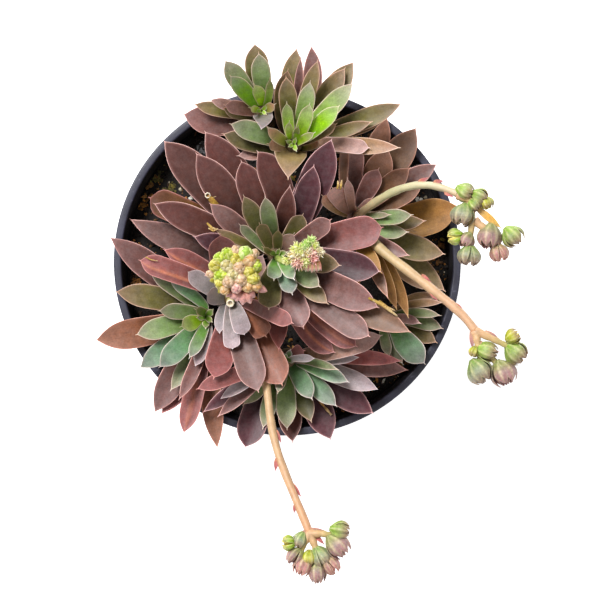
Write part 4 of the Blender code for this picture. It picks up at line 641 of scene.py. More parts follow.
def leaf_plan(row):
    """A leaf's plan: middle line, side direction, half width, thickness and rise at even steps."""
    name, tip_x, tip_y, foot_x, foot_y, width, tone = row
    heart = np.array(HEARTS[rosette_of(name)][:2])
    foot, tip = np.array([foot_x, foot_y]), np.array([tip_x, tip_y])
    reach = np.hypot(*(tip - heart))
    start = 0.6 if reach < YOUNG_REACH else STEM_TOP_RADIUS - 0.6
    first = heart + (foot - heart) / np.hypot(*(foot - heart)) * start
    s = np.linspace(0, 1, 31)
    line = bent(first, foot, tip, s)
    half = 0.5 * width * outline(s, *SHAPES.get(name, PLAIN_SHAPE))
    if name not in WIDE_FEET:
        half = np.minimum(half, 1.1 + 0.45 * s * np.hypot(*(tip - first)))
    thick = (0.5 + 0.13 * width) * (0.6 + 0.4 * np.minimum(s / 0.3, 1)) * (1 - 0.75 * s**4)
    rise = tip_rise(reach) * (0.35 * s + 0.65 * s**1.7)
    return dict(name=name, tone=tone, heart=heart, s=s, line=line, half=half, thick=thick, rise=rise)


def stalk_plan(name):
    """A flower stalk's plan, as leaf_plan gives a leaf's."""
    rosette, _, foot_size, end_size, rise, points = STALKS[name]
    s = np.linspace(0, 1, 31)
    line = np.array(points, float)
    for _ in range(2):
        line = np.concatenate([line[:1], 0.5 * (line[:-1] + line[1:]), line[-1:]])
    radius = 0.5 * (foot_size + (end_size - foot_size) * s)
    heart = np.array(HEARTS[rosette][:2])
    made = dict(name=name, heart=heart, s=s, line=evenly(line, s))
    made.update(half=radius, thick=2 * radius, rise=rise * s**1.3)
    return made


def dry_plan(name):
    """The plan of a dried bit."""
    _, radius, foot, end = DRY[name]
    s = np.linspace(0, 1, 31)
    line = evenly(np.array([foot, end], float), s)
    flat = np.full(31, radius)
    far = np.array([500.0, 500.0])
    return dict(name=name, heart=far, s=s, line=line, half=flat, thick=2 * flat, rise=0 * s)


def straight_lift(s, need, floor):
    """The lowest lift a + b s that clears every need, with a at least floor and b at least 0."""
    best = (max(need.max(), floor), 0.0)
    score = LIFT_WEIGHT * best[0]
    starts = [(si, ni) for si, ni in zip(s, need)] + [(0.0, floor)]
    for si, ni in starts:
        ahead = s > si
        if not ahead.any():
            continue
        b = max(0.0, ((need[ahead] - ni) / (s[ahead] - si)).max())
        a = max(floor, (need - b * s).max())
        if LIFT_WEIGHT * a + 0.5 * b < score:
            best, score = (a, b), LIFT_WEIGHT * a + 0.5 * b
    return best


def lift_over(s, need, floor):
    """Lift along a leaf that clears what lies below: low at the stem, an arch, then a straight rise."""
    arch = 1 - (1 - s) ** 4
    found = []
    for k in np.arange(0, 14.1, 1.0):
        a, b = straight_lift(s, need - k * arch, floor)
        found.append((LIFT_WEIGHT * a + 0.5 * b + 0.8 * k, a, b, k))
    _, a, b, k = min(found)
    return a, a + b * s + k * arch


def lay(piece, top, floor):
    """Lays one leaf or stalk on the height map, stamps it in and returns the height of its foot."""
    u = np.linspace(-1, 1, 9)
    side = sideways(piece["line"])
    x = piece["line"][:, 0, None] + side[:, 0, None] * piece["half"][:, None] * u
    y = piece["line"][:, 1, None] + side[:, 1, None] * piece["half"][:, None] * u
    upper, lower = section(u, piece["half"][:, None], piece["thick"][:, None])
    i, j = cells(x, y)
    clear = top[i, j] + LEAF_GAP - lower - piece["rise"][:, None]
    clear[np.hypot(x - piece["heart"][0], y - piece["heart"][1]) < STEM_FOOT_RADIUS] = -200.0
    foot, lift = lift_over(piece["s"], clear.max(axis=1), floor)
    piece["height"] = lift + piece["rise"]
    piece["side"] = side
    np.maximum.at(top, (i, j), piece["height"][:, None] + upper)
    return foot


def settle():
    """Lays all pieces from the lowest up. Returns them, each stem's top and the height map."""
    top = empty_map()
    base = {name: up - SOIL_DEPTH for name, (_, _, up) in HEARTS.items()}
    laid = {}
    for row in LEAVES:
        for name, (rosette, before, *_) in STALKS.items():
            if before == row[0]:
                laid[name] = stalk_plan(name)
                lay(laid[name], top, base[rosette])
        for name, (before, *_) in DRY.items():
            if before == row[0]:
                laid[name] = dry_plan(name)
                lay(laid[name], top, -SOIL_DEPTH)
        leaf = leaf_plan(row)
        base[rosette_of(row[0])] = lay(leaf, top, base[rosette_of(row[0])]) + LEAF_STEP
        laid[row[0]] = leaf
    for name, (rosette, before, *_) in STALKS.items():
        if not before:
            laid[name] = stalk_plan(name)
            lay(laid[name], top, base[rosette] + 3.0)
    return laid, base, top


def in_sight(plan_x, plan_y, height):
    """The point in metres that is seen at this plan position, at a height above the rim; both in mm."""
    near = (CAMERA_ABOVE_RIM - height) / CAMERA_ABOVE_RIM
    x = CAMERA_X + (plan_x - CAMERA_X) * near
    y = CAMERA_Y + (plan_y - CAMERA_Y) * near
    return Vector((x * MM, y * MM, (RIM_Z + height) * MM))


def linear(red, green, blue):
    """An sRGB colour, 0 to 255, as linear light."""
    share = np.array([red, green, blue]) / 255
    return np.where(share <= 0.04045, share / 12.92, ((share + 0.055) / 1.055) ** 2.4)


def luck(*key):
    """A number from -1 to 1 that is always the same for the same name and use."""
    total = sum((k + 1) * ord(letter) for k, letter in enumerate("_".join(str(part) for part in key)))
    return 2 * ((total * 0.6180339887) % 1) - 1


def seen_at(plan, height):
    """Points in metres that are seen at these plan positions and stand this far above the rim, both in mm."""
    near = (CAMERA_ABOVE_RIM - height) / CAMERA_ABOVE_RIM
    x = CAMERA_X + (plan[..., 0] - CAMERA_X) * near
    y = CAMERA_Y + (plan[..., 1] - CAMERA_Y) * near
    return np.stack([x * MM, y * MM, (RIM_Z + height) * MM], -1)


# Values that each point of a mesh carries for the materials, and how many numbers each has
VALUES = {"tone": 3, "rim_tone": 3, "margin": 1, "across": 1, "along": 1, "under": 1, "wax": 1}


class Skin:
    """Gathers closed shapes into one mesh, with values for the materials at each point."""

    def __init__(self, name):
        self.name = name
        self.points, self.faces, self.surfaces = [], [], []
        self.values = {key: [] for key in VALUES}
        self.count = 0

    def add(self, points, faces, surface=0, **values):
        self.points.append(points)
        self.faces += [tuple(face) for face in faces + self.count]
        self.surfaces += [surface] * len(faces)
        for key, size in VALUES.items():
            value = np.asarray(values.get(key, np.zeros(size)), float)
            self.values[key].append(np.broadcast_to(value.reshape(-1, size), (len(points), size)))
        self.count += len(points)

    def join(self, other, surface):
        """Takes in all of another skin's shapes, on one surface."""
        self.points += other.points
        self.faces += [tuple(corner + self.count for corner in face) for face in other.faces]
        self.surfaces += [surface] * len(other.faces)
        for key in VALUES:
            self.values[key] += other.values[key]
        self.count += other.count

    def add_rings(self, rings, surface=0, **values):
        """A closed tube through rings of points, each ring's values given for every point or for the whole."""
        n, m = rings.shape[:2]
        ends = rings[[0, -1]].mean(axis=1)
        points = np.concatenate([rings.reshape(-1, 3), ends])
        ringed = {}
        for key, value in values.items():
            size = VALUES[key]
            value = np.asarray(value, float)
            if value.size > size:
                value = np.broadcast_to(value.reshape(n, -1, size), (n, m, size))
                value = np.concatenate([value.reshape(-1, size), value[[0, -1]].mean(axis=1)])
            ringed[key] = value
        i, j = np.meshgrid(np.arange(n - 1), np.arange(m), indexing="ij")
        here, beside = i * m + j, i * m + (j + 1) % m
        sides = np.stack([here, beside, beside + m, here + m], -1).reshape(-1, 4)
        k = np.arange(m)
        foot = np.stack([np.full(m, n * m), (k + 1) % m, k], 1)
        tip = np.stack([np.full(m, n * m + 1), (n - 1) * m + k, (n - 1) * m + (k + 1) % m], 1)
        self.add(points, sides, surface, **ringed)
        self.count -= len(points)
        self.faces += [tuple(face) for face in np.concatenate([foot, tip]) + self.count]
        self.surfaces += [surface] * (2 * m)
        self.count += len(points)

    def made(self, *surfaces):
        """The mesh as an object with these materials."""
        mesh = bpy.data.meshes.new(self.name)
        mesh.from_pydata(np.concatenate(self.points).tolist(), [], [list(map(int, face)) for face in self.faces])
        for key, size in VALUES.items():
            kind = "FLOAT_COLOR" if size == 3 else "FLOAT"
            layer = mesh.attributes.new(key, kind, "POINT")
            value = np.concatenate(self.values[key])
            if size == 3:
                value = np.concatenate([value, np.ones((len(value), 1))], 1)
                layer.data.foreach_set("color", value.ravel())
            else:
                layer.data.foreach_set("value", value.ravel())
        for surface in surfaces:
            mesh.materials.append(surface)
        mesh.polygons.foreach_set("material_index", self.surfaces)
        mesh.polygons.foreach_set("use_smooth", [True] * len(self.faces))
        mesh.update()
        obj = bpy.data.objects.new(self.name, mesh)
        bpy.context.scene.collection.objects.link(obj)
        return obj


def tube_rings(path, radius, corners, ribs=0, rib_depth=0.0):
    """Rings square to a path in metres, with this radius at each of its points; ribs run along it."""
    run = np.gradient(path, axis=0)
    run /= np.linalg.norm(run, axis=1)[:, None]
    up = np.array([0.0, 0.0, 1.0]) if abs(run[len(run) // 2, 2]) < 0.95 else np.array([0.0, 1.0, 0.0])
    left = np.cross(up, run)
    left /= np.linalg.norm(left, axis=1)[:, None]
    over = np.cross(run, left)
    angle = 2 * pi * np.arange(corners) / corners
    reach = np.asarray(radius)[:, None] * (1 + rib_depth * np.cos(ribs * angle))
    return path[:, None] + reach[..., None] * (
        np.cos(angle)[None, :, None] * left[:, None] + np.sin(angle)[None, :, None] * over[:, None]
    )


def blended(stops, shares, s):
    """A colour along a piece, from sRGB colours at these shares of its length."""
    colours = np.array([linear(*stop) for stop in stops])
    return np.stack([np.interp(s, shares, column) for column in colours.T], -1)


def leaf_rings(piece, roll=0.0, keel=None, mucro=MUCRO):
    """Rings round a leaf, from its foot to the end of its fine point, and where each ring point lies on it."""
    s = piece["s"]
    angle = 2 * pi * np.arange(AROUND) / AROUND
    u, w = np.cos(angle), np.sin(angle)
    half = np.hypot(piece["half"], MUCRO_RADIUS)
    thick = np.maximum(piece["thick"], 2 * MUCRO_RADIUS)
    end = piece["line"][-1] - piece["line"][-2]
    end /= np.hypot(*end)
    climb = (piece["height"][-1] - piece["height"][-2]) / np.hypot(*(piece["line"][-1] - piece["line"][-2]))
    beyond = mucro * np.array([0.35, 0.7, 1.0])
    line = np.concatenate([piece["line"], piece["line"][-1] + end * beyond[:, None]])
    side = np.concatenate([piece["side"], np.repeat(piece["side"][-1:], 3, 0)])
    height = np.concatenate([piece["height"], piece["height"][-1] + climb * beyond + 0.35 * beyond**2])
    half = np.concatenate([half, MUCRO_RADIUS * np.array([0.85, 0.6, 0.25])])
    thick = np.concatenate([thick, 2 * MUCRO_RADIUS * np.array([0.85, 0.6, 0.25])])
    cup = half[:, None] * (0.11 * u**2 + 0.10 * np.sqrt(u**2 + 0.02) + roll * u)
    if keel is not None:
        cup = cup + 0.16 * half[:, None] * np.exp(-(((u - keel) / 0.16) ** 2)) * (w > 0)
    level = np.where(w >= 0, 0.16 * w, -np.abs(w) ** 1.2) * thick[:, None]
    plan = line[:, None] + side[:, None] * (half[:, None] * u)[..., None]
    rings = seen_at(plan, height[:, None] + cup + level)
    share = np.concatenate([s, [1, 1, 1]])
    margin = (1 - np.abs(u)) * half[:, None]
    margin[-4:] = 0.0
    return rings, share, u, margin, half, np.broadcast_to(w < -0.02, margin.shape).astype(float)


def add_leaf(skin, piece, tone, name, mucro=MUCRO):
    """A leaf's skin with its colours."""
    foot, middle, tip, rim, wax = TONES[tone]
    mucro = min(mucro, 0.4) if tone == "lilac" else mucro
    keel = KEELS.get(name)
    rings, share, u, margin, half, under = leaf_rings(piece, 0.05 * luck(name, "roll"), keel, mucro)
    young = np.hypot(*(piece["line"][-1] - piece["line"][0])) < 19
    # Older leaves take the dark foot colour over their lower share as painted shade; young leaves keep lighter feet.
    colour = blended((foot, middle, tip), (-0.2, 0.4, 0.9) if young else (0.1, 0.6, 1.0), share)
    colour = colour * (1 + 0.10 * luck(name, "light")) * LIT.get(name, 1.0)
    colour = np.repeat(colour[:, None], AROUND, 1) * (1 + 0.05 * luck(name, "red") * np.array([1.0, -0.6, -0.3]))
    # Painted highlight, partly the keel's own colour: an orange line along the top of the keel.
    if keel is not None:
        keel_highlight = np.exp(-(((u - keel) / 0.13) ** 2))[None, :, None] * (1 - under[..., None])
        colour = colour * (1 - 0.7 * keel_highlight) + linear(200, 122, 84) * 0.7 * keel_highlight
    skin.add_rings(
        rings,
        tone=colour,
        rim_tone=np.repeat(np.repeat(linear(*rim)[None, None], len(share), 0), AROUND, 1),
        margin=margin[..., None],
        across=(u * half[:, None])[..., None],
        along=np.repeat((share * len(share))[:, None], AROUND, 1)[..., None],
        under=under[..., None],
        wax=np.full((len(share), AROUND, 1), wax),
    )


class Finish:
    """A node material, with one method for each kind of node it uses."""

    def __init__(self, name):
        self.material = bpy.data.materials.new(name)
        self.material.use_nodes = True
        self.tree = self.material.node_tree
        self.shader = self.tree.nodes["Principled BSDF"]
        self.place = self.add("ShaderNodeTexCoord").outputs["Object"]

    def add(self, kind, sockets=None, **settings):
        made = self.tree.nodes.new(kind)
        for key, value in settings.items():
            setattr(made, key, value)
        for key, value in (sockets or {}).items():
            self.put(made.inputs[key], value)
        return made

    def put(self, socket, value):
        if isinstance(value, bpy.types.NodeSocket):
            self.tree.links.new(value, socket)
        else:
            socket.default_value = value

    def value(self, name):
        return self.add("ShaderNodeAttribute", attribute_name=name).outputs["Fac"]

    def colour(self, name):
        return self.add("ShaderNodeAttribute", attribute_name=name).outputs["Color"]

    def noise(self, scale, detail=3.0, vector=None):
        sockets = {"Vector": vector or self.place, "Scale": scale, "Detail": detail, "Roughness": 0.6}
        return self.add("ShaderNodeTexNoise", sockets).outputs["Fac"]

    def spots(self, scale):
        """Distance to the nearest of many scattered points, 0 at each of them."""
        return self.add("ShaderNodeTexVoronoi", {"Vector": self.place, "Scale": scale}).outputs["Distance"]

    def fade(self, value, low, high, first=0.0, last=1.0):
        """Goes smoothly from first to last as value goes from low to high."""
        sockets = {"Value": value, "From Min": low, "From Max": high, "To Min": first, "To Max": last}
        return self.add("ShaderNodeMapRange", sockets, interpolation_type="SMOOTHSTEP").outputs["Result"]

    def maths(self, operation, a, b):
        return self.add("ShaderNodeMath", {0: a, 1: b}, operation=operation).outputs[0]

    def mix(self, share, a, b, blend="MIX"):
        made = self.add("ShaderNodeMix", {"Factor": share}, data_type="RGBA", blend_type=blend)
        self.put(made.inputs["A"], a)
        self.put(made.inputs["B"], b)
        return made.outputs["Result"]

    def grey(self, value):
        return self.add("ShaderNodeCombineColor", {"Red": value, "Green": value, "Blue": value}).outputs["Color"]

    def bump(self, height, strength, distance):
        sockets = {"Height": height, "Strength": strength, "Distance": distance}
        self.put(self.shader.inputs["Normal"], self.add("ShaderNodeBump", sockets).outputs["Normal"])

    def shade(self, **sockets):
        for key, value in sockets.items():
            self.put(self.shader.inputs[key.replace("_", " ")], value)
        return self.material


def rgba(*colour):
    return (*linear(*colour), 1.0)


def leaf_finish():
    """Waxy leaf skin: mottled, finely speckled, with a pale margin line and a reddish band inside it."""
    look = Finish("leaf_skin")
    tone, rim = look.colour("tone"), look.colour("rim_tone")
    across, along = look.value("across"), look.value("along")
    margin, under, wax = look.value("margin"), look.value("under"), look.value("wax")
    mottle = look.noise(240, 4)
    grain = look.noise(1500, 3)
    lengthwise = look.add("ShaderNodeCombineXYZ", {"X": across, "Y": look.maths("MULTIPLY", along, 0.12), "Z": wax})
    streak = look.noise(1.6, 3, lengthwise.outputs["Vector"])
    skin = look.mix(1.0, tone, look.grey(look.fade(mottle, 0.25, 0.75, 0.78, 1.2)), "MULTIPLY")
    skin = look.mix(1.0, skin, look.grey(look.fade(grain, 0.3, 0.7, 0.86, 1.12)), "MULTIPLY")
    skin = look.mix(1.0, skin, look.grey(look.fade(streak, 0.3, 0.7, 0.94, 1.06)), "MULTIPLY")
    freckle = look.maths("MULTIPLY", look.fade(look.spots(900), 0.06, 0.2, 0.35, 0.0), look.fade(mottle, 0.4, 0.6))
    skin = look.mix(freckle, skin, rgba(84, 44, 40))
    skin = look.mix(look.maths("MULTIPLY", under, 0.3), skin, rgba(170, 120, 112))
    coat = look.maths("MULTIPLY", wax, look.fade(look.noise(420, 4), 0.35, 0.7, 0.1, 0.6))
    skin = look.mix(coat, skin, rgba(190, 182, 186))
    edge = look.maths("ADD", margin, look.fade(grain, 0.3, 0.7, -0.04, 0.04))
    skin = look.mix(look.fade(edge, 0.2, 1.4, 0.16, 0.0), skin, look.mix(0.4, rim, rgba(150, 70, 74)))
    fine = look.fade(look.noise(90, 2), 0.35, 0.65, 0.55, 1.0)
    skin = look.mix(look.maths("MULTIPLY", look.fade(edge, 0.15, 0.33, 0.95, 0.0), fine), skin, rim)
    rough = look.fade(grain, 0.3, 0.7, 0.36, 0.5)
    relief = look.maths("ADD", look.maths("MULTIPLY", grain, 0.5), look.maths("MULTIPLY", streak, 0.5))
    look.bump(relief, 0.25, 0.0003)
    look.shader.inputs["Subsurface Radius"].default_value = (1.0, 0.5, 0.3)
    return look.shade(
        Base_Color=skin, Roughness=rough, Specular_IOR_Level=0.22, Subsurface_Weight=0.1, Subsurface_Scale=0.0012
    )


def stem_finish():
    """Woody stem with the scars of fallen leaves."""
    look = Finish("stem_skin")
    ring = look.add("ShaderNodeTexWave", {"Vector": look.place, "Scale": 160.0, "Distortion": 6.0}, bands_direction="Z")
    rough = look.noise(900, 4)
    colour = look.mix(ring.outputs["Fac"], rgba(74, 52, 36), rgba(124, 98, 68))
    colour = look.mix(look.fade(rough, 0.4, 0.7), colour, rgba(92, 84, 50))
    look.bump(look.maths("ADD", ring.outputs["Fac"], rough), 0.5, 0.0006)
    return look.shade(Base_Color=colour, Roughness=0.8)


def stalk_finish():
    """Fleshy stalk: pale, faintly ribbed along its length, with small brown specks."""
    look = Finish("stalk_skin")
    tone = look.colour("tone")
    mottle, grain = look.noise(300, 3), look.noise(1800, 2)
    skin = look.mix(1.0, tone, look.grey(look.fade(mottle, 0.3, 0.7, 0.9, 1.08)), "MULTIPLY")
    speck = look.maths("MULTIPLY", look.fade(look.spots(520), 0.05, 0.14, 0.55, 0.0), look.fade(mottle, 0.45, 0.6))
    skin = look.mix(speck, skin, rgba(176, 120, 84))
    look.bump(look.maths("ADD", grain, mottle), 0.2, 0.0003)
    look.shader.inputs["Subsurface Radius"].default_value = (1.0, 0.6, 0.4)
    return look.shade(
        Base_Color=skin, Roughness=look.fade(grain, 0.3, 0.7, 0.42, 0.6), Subsurface_Weight=0.15, Subsurface_Scale=0.0015
    )


def bud_finish():
    """Fleshy buds: green to mauve, with fine freckles and a soft bloom."""
    look = Finish("bud_skin")
    tone = look.colour("tone")
    mottle, grain = look.noise(900, 3), look.noise(3200, 2)
    skin = look.mix(1.0, tone, look.grey(look.fade(mottle, 0.3, 0.7, 0.8, 1.18)), "MULTIPLY")
    skin = look.mix(look.fade(look.spots(1500), 0.05, 0.2, 0.3, 0.0), skin, rgba(120, 70, 74))
    look.bump(look.maths("ADD", grain, mottle), 0.3, 0.0002)
    look.shader.inputs["Subsurface Radius"].default_value = (1.0, 0.7, 0.3)
    return look.shade(
        Base_Color=skin, Roughness=look.fade(grain, 0.3, 0.7, 0.45, 0.62), Subsurface_Weight=0.2, Subsurface_Scale=0.001
    )


def dry_finish():
    """Dead, papery tissue with long fibres."""
    look = Finish("dry_skin")
    tone = look.colour("tone")
    fibre, grain = look.noise(1300, 5), look.noise(420, 3)
    skin = look.mix(look.fade(fibre, 0.42, 0.62, 0.0, 0.55), tone, rgba(122, 74, 34))
    skin = look.mix(look.fade(grain, 0.55, 0.75, 0.0, 0.5), skin, rgba(236, 222, 190))
    look.bump(fibre, 0.6, 0.0004)
    return look.shade(Base_Color=skin, Roughness=0.85)


def soil_finish():
    """Potting mix: damp dark crumbs, each with its own tone."""
    look = Finish("soil_crumbs")
    tone = look.colour("tone")
    crumb, grain = look.noise(700, 5), look.noise(2600, 3)
    skin = look.mix(1.0, tone, look.grey(look.fade(crumb, 0.25, 0.75, 0.5, 1.5)), "MULTIPLY")
    look.bump(look.maths("ADD", crumb, grain), 0.8, 0.0008)
    return look.shade(Base_Color=skin, Roughness=look.fade(grain, 0.3, 0.7, 0.7, 0.95))


def pot_finish():
    """Moulded plastic, slate with a violet cast: fine grain, dusty scuffs and light rubbed marks."""
    look = Finish("pot_plastic_worn")
    cloud, grain, scratch = look.noise(60, 5), look.noise(2400, 2), look.noise(500, 5)
    skin = look.mix(look.fade(cloud, 0.35, 0.7), rgba(38, 38, 52), rgba(56, 56, 74))
    skin = look.mix(look.fade(scratch, 0.6, 0.78, 0.0, 0.5), skin, rgba(116, 114, 134))
    skin = look.mix(look.fade(grain, 0.62, 0.8, 0.0, 0.3), skin, rgba(110, 104, 110))
    look.bump(look.maths("ADD", grain, look.maths("MULTIPLY", scratch, 0.6)), 0.25, 0.0003)
    return look.shade(Base_Color=skin, Roughness=look.fade(cloud, 0.3, 0.7, 0.42, 0.6))


def pot_inner_finish():
    """The inside of the pot's wall: near black as painted shade under the lip, with brown specks of soil on it."""
    look = Finish("pot_inner_painted_shade")
    shade_cloud, grain = look.noise(160, 5), look.noise(1400, 4)
    # Near black, varied by a cloud: painted shade on the inner wall.
    skin = look.mix(look.fade(shade_cloud, 0.4, 0.65), rgba(15, 14, 18), rgba(34, 30, 36))
    skin = look.mix(look.fade(grain, 0.6, 0.72, 0.0, 0.6), skin, rgba(92, 70, 48))
    look.bump(look.maths("ADD", grain, shade_cloud), 0.4, 0.0004)
    return look.shade(Base_Color=skin, Roughness=0.75)


def ride(obj, node):
    """obj stands for a CAD node: it hangs under the root body, and the CAD node is hidden."""
    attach(obj, "root")
    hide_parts(node)
    return obj


def young_leaf(name, k, count, reach, width, height):
    """One of the smallest leaves, standing steeply in the middle of a rosette."""
    x, y, _ = HEARTS[name]
    turn = k * 2.39996 + luck(name, "turn") * pi
    out = reach * (1 - 0.5 * k / count)
    s = np.linspace(0, 1, 16)
    heart = np.array([x, y])
    way = np.array([cos(turn), sin(turn)])
    line = heart + way * (0.3 + out * s)[:, None]
    half = 0.5 * width * (1 - 0.3 * k / count) * outline(s, 0.55, 0.8, 2.0)
    made = dict(s=s, line=line, side=sideways(line), half=half, thick=0.9 - 0.4 * s)
    made["height"] = height + 0.5 * k + 1.3 * out * s**1.2
    return made


def rosette(name, laid, base, top, skins, nodes):
    """A rosette's stem and all its leaves: those that are CAD nodes as pieces, the rest with the stem."""
    leaf_skin, stem_skin, stalk_skin, dry_skin = skins
    core = Skin("rosette_" + name + "_look")
    x, y, _ = HEARTS[name]
    bottom, peak = -SOIL_DEPTH, base[name] + 1.0
    lean = min(1.0, STEM_FOOT_REACH / np.hypot(x, y))
    level = np.linspace(0, 1, 14)
    height = bottom + (peak - bottom) * level
    inward = lean + (1 - lean) * np.minimum(level / 0.7, 1)
    plan = np.stack([x * inward, y * inward], 1)
    radius = (STEM_TOP_RADIUS + 1.6 * (1 - level) ** 1.5) * (1 + 0.06 * np.sin(level * 40)) * MM
    core.add_rings(tube_rings(seen_at(plan, height), radius, 20), surface=1, tone=linear(110, 84, 60))
    for row in LEAVES:
        if rosette_of(row[0]) != name:
            continue
        node = "leaf_" + row[0]
        if node in nodes:
            skin = Skin(node + "_look")
            add_leaf(skin, laid[row[0]], row[6], row[0])
            ride(skin.made(leaf_skin), node)
        else:
            add_leaf(core, laid[row[0]], row[6], row[0])
    count, reach, width, tone = YOUNG[name]
    for k in range(count):
        add_leaf(core, young_leaf(name, k, count, reach, width, base[name] + 0.5), tone, f"{name}_young{k}", 0.5)
    if name == "crown":
        shreds(core, top, 3)
    if name == "mid_left":
        plan = np.array([[-23.9, -15.6], [-24.1, -16.2], [-24.4, -17.0], [-24.6, -17.8]])
        cut = Skin("cut")
        path = seen_at(plan, base[name] + np.array([0.0, 3.0, 6.0, 9.0]))
        hollow_end(cut, path, 1.7, STALK_TONES["stalk_mid"][:3], (196, 178, 146))
        core.join(cut, 2)
    ride(core.made(leaf_skin, stem_skin, stalk_skin, dry_skin), "rosette_" + name)


def crosswise(out):
    """Two unit vectors square to a direction and to each other; the first lies level."""
    level = np.cross((0.0, 0.0, 1.0), out)
    level = np.array([1.0, 0.0, 0.0]) if np.linalg.norm(level) < 0.05 else level / np.linalg.norm(level)
    return level, np.cross(out, level)


def facing(out, count, cap):
    """Directions spread evenly over a cap of a ball round the direction out; cap is its half angle."""
    out = np.asarray(out, float) / np.linalg.norm(out)
    across, over = crosswise(out)
    k = np.arange(count)
    tilt = np.arccos(1 - (1 - cos(cap)) * (k + 0.5) / count)
    turn = k * 2.39996
    return (
        np.cos(tilt)[:, None] * out
        + (np.sin(tilt) * np.cos(turn))[:, None] * across
        + (np.sin(tilt) * np.sin(turn))[:, None] * over
    )


def finger(skin, start, way, length, radius, tones, blunt=0.5):
    """A closed bud from start along way; blunt is how full its end is. Sizes in mm."""
    t = np.linspace(0, 1, 12)
    belly = np.sin(pi * t**0.8) ** blunt
    belly[0], belly[-1] = 0.4, 0.1
    way = np.asarray(way, float) / np.linalg.norm(way)
    path = start + way * (length * t * MM)[:, None]
    colour = blended(tones, (0.1, 0.55, 0.95), t)
    skin.add_rings(tube_rings(path, radius * belly * MM, 12, 5, 0.09), tone=np.repeat(colour[:, None], 12, 1))


def scale(skin, centre, out, turn, length, radius, width, closing, tones, thick=0.9, shares=(0.15, 0.55, 0.95)):
    """One fleshy scale of a bud: it wraps an egg round the axis out, and closing is how far its tip bends in."""
    across, over = crosswise(out)
    radial = cos(turn) * across + sin(turn) * over
    tangent = cos(turn) * over - sin(turn) * across
    s = np.linspace(0, 1, 13)[:, None]
    angle = 2 * pi * np.arange(16) / 16
    u, w = np.cos(angle), np.sin(angle)
    half = np.hypot(width * outline(s, 0.5, 0.4, 2.4), 0.15)
    stand = radius * (0.1 + 0.9 * np.sin(pi * closing * s) ** 0.85)
    deep = thick * (1 - 0.6 * s**3)
    keel = 0.3 * deep * np.exp(-((u / 0.25) ** 2)) * (w > 0)
    offset = stand - (half * u) ** 2 / (2.2 * radius) + 0.5 * deep * w + keel
    axial = length * (s - 0.5) + 0 * u
    points = centre + MM * (axial[..., None] * out + offset[..., None] * radial + (half * u)[..., None] * tangent)
    colour = np.repeat(blended(tones, shares, s[:, 0])[:, None], 16, 1)
    pale = np.clip(np.exp(-((u / 0.2) ** 2)) + 0.7 * (np.abs(u) > 0.9), 0, 1) * (w > -0.2)
    colour = colour + (linear(214, 206, 160) - colour) * 0.4 * pale[None, :, None]
    skin.add_rings(points, tone=colour)


def tuft(skin, row, height, key):
    """A bud of overlapping scales, green where it starts and reddish at its tips."""
    x, y, length, radius, aim, tone = row
    turn = aim * pi / 180
    out = np.array([cos(turn), sin(turn), 0.12])
    out /= np.linalg.norm(out)
    centre = seen_at(np.array([x, y]), np.asarray(height, float))
    tones = BUD_TONES[tone]
    inner = BUD_TONES["yellow"] if tone in ("open", "bright") else tones
    for k in range(6):
        aside = 2 * pi * (k + 0.3 * luck(key, k)) / 6
        shade = tuple(tuple(np.array(c) * (1 + 0.08 * luck(key, k, "shade"))) for c in tones)
        scale(skin, centre, out, aside, length * (0.94 + 0.06 * luck(key, k)), radius, 0.56 * radius, 0.81, shade)
    for k in range(5):
        aside = 2 * pi * (k + 0.5 + 0.3 * luck(key, k, "in")) / 5
        scale(skin, centre, out, aside, 1.02 * length, 0.7 * radius, 0.42 * radius, 0.88, inner)
    finger(skin, centre - out * 0.45 * length * MM, out, 0.85 * length, 0.5 * radius, inner, 0.8)


def bud_axis(plan, root, height):
    """Where a bud's tip is seen, and the direction it points in, away from the root of its head."""
    tip = seen_at(np.array(plan), np.asarray(height, float))
    way = tip - root
    way = way / np.linalg.norm(way) + np.array([0, 0, 0.35])
    return tip, way / np.linalg.norm(way)


def shut_bud(skin, tip, way, radius, tones, key):
    """A round bud of five overlapping sepals, seen from its end."""
    centre = tip - way * 1.1 * radius * MM
    for k in range(5):
        aside = 2 * pi * (k + 0.25 * luck(key, k)) / 5
        shade = tuple(tuple(np.array(stop) * (1 + 0.1 * luck(key, k, "shade"))) for stop in tones)
        long = 2.3 * radius * (0.95 + 0.05 * luck(key, k, "long"))
        # The shares let the darker foot colour reach far up each sepal: painted shade in the crevices between the buds.
        scale(skin, centre, way, aside, long, 0.82 * radius, 0.8 * radius, 0.89, shade, 0.36 * radius, (0.4, 0.7, 1.0))
    deep = (tones[0], tones[0], tones[1])
    finger(skin, centre - way * 1.3 * radius * MM, way, 2.6 * radius, 0.84 * radius, deep, 0.5)


def dome_head(name, height, bud_skin):
    """The tall head, seen end on: round buds crowded together, with pink bracts at its lower edge."""
    skin = Skin(name + "_look")
    root = seen_at(np.array([-22.2, -4.6]), np.asarray(height - 9.0, float))
    for k, (x, y, radius, tone) in enumerate(DOME):
        away = np.hypot(x + 22.2, y + 4.6) / 13.0
        tip, way = bud_axis((x, y), root, height + 4.5 * (1 - away**2) + 0.8 * luck(name, k))
        shut_bud(skin, tip, way, radius, BUD_TONES[tone], f"{name}{k}")
    for foot, tip, half in DOME_BRACTS:
        start = seen_at(np.array(foot), np.asarray(height - 1.6, float))
        way = seen_at(np.array(tip), np.asarray(height - 2.6, float)) - start
        finger(skin, start, way, np.linalg.norm(way) / MM, half, BUD_TONES["rosy"], 0.75)
    # Olive fingers from the root fill the gaps between the buds, coloured as painted shade in those gaps.
    for way in facing((0.0, 0.0, 1.0), 30, 1.7):
        finger(skin, root, way, 11.0, 2.7, ((110, 110, 8), (140, 134, 12), (150, 140, 20)), 0.6)
    ride(skin.made(bud_skin), name)


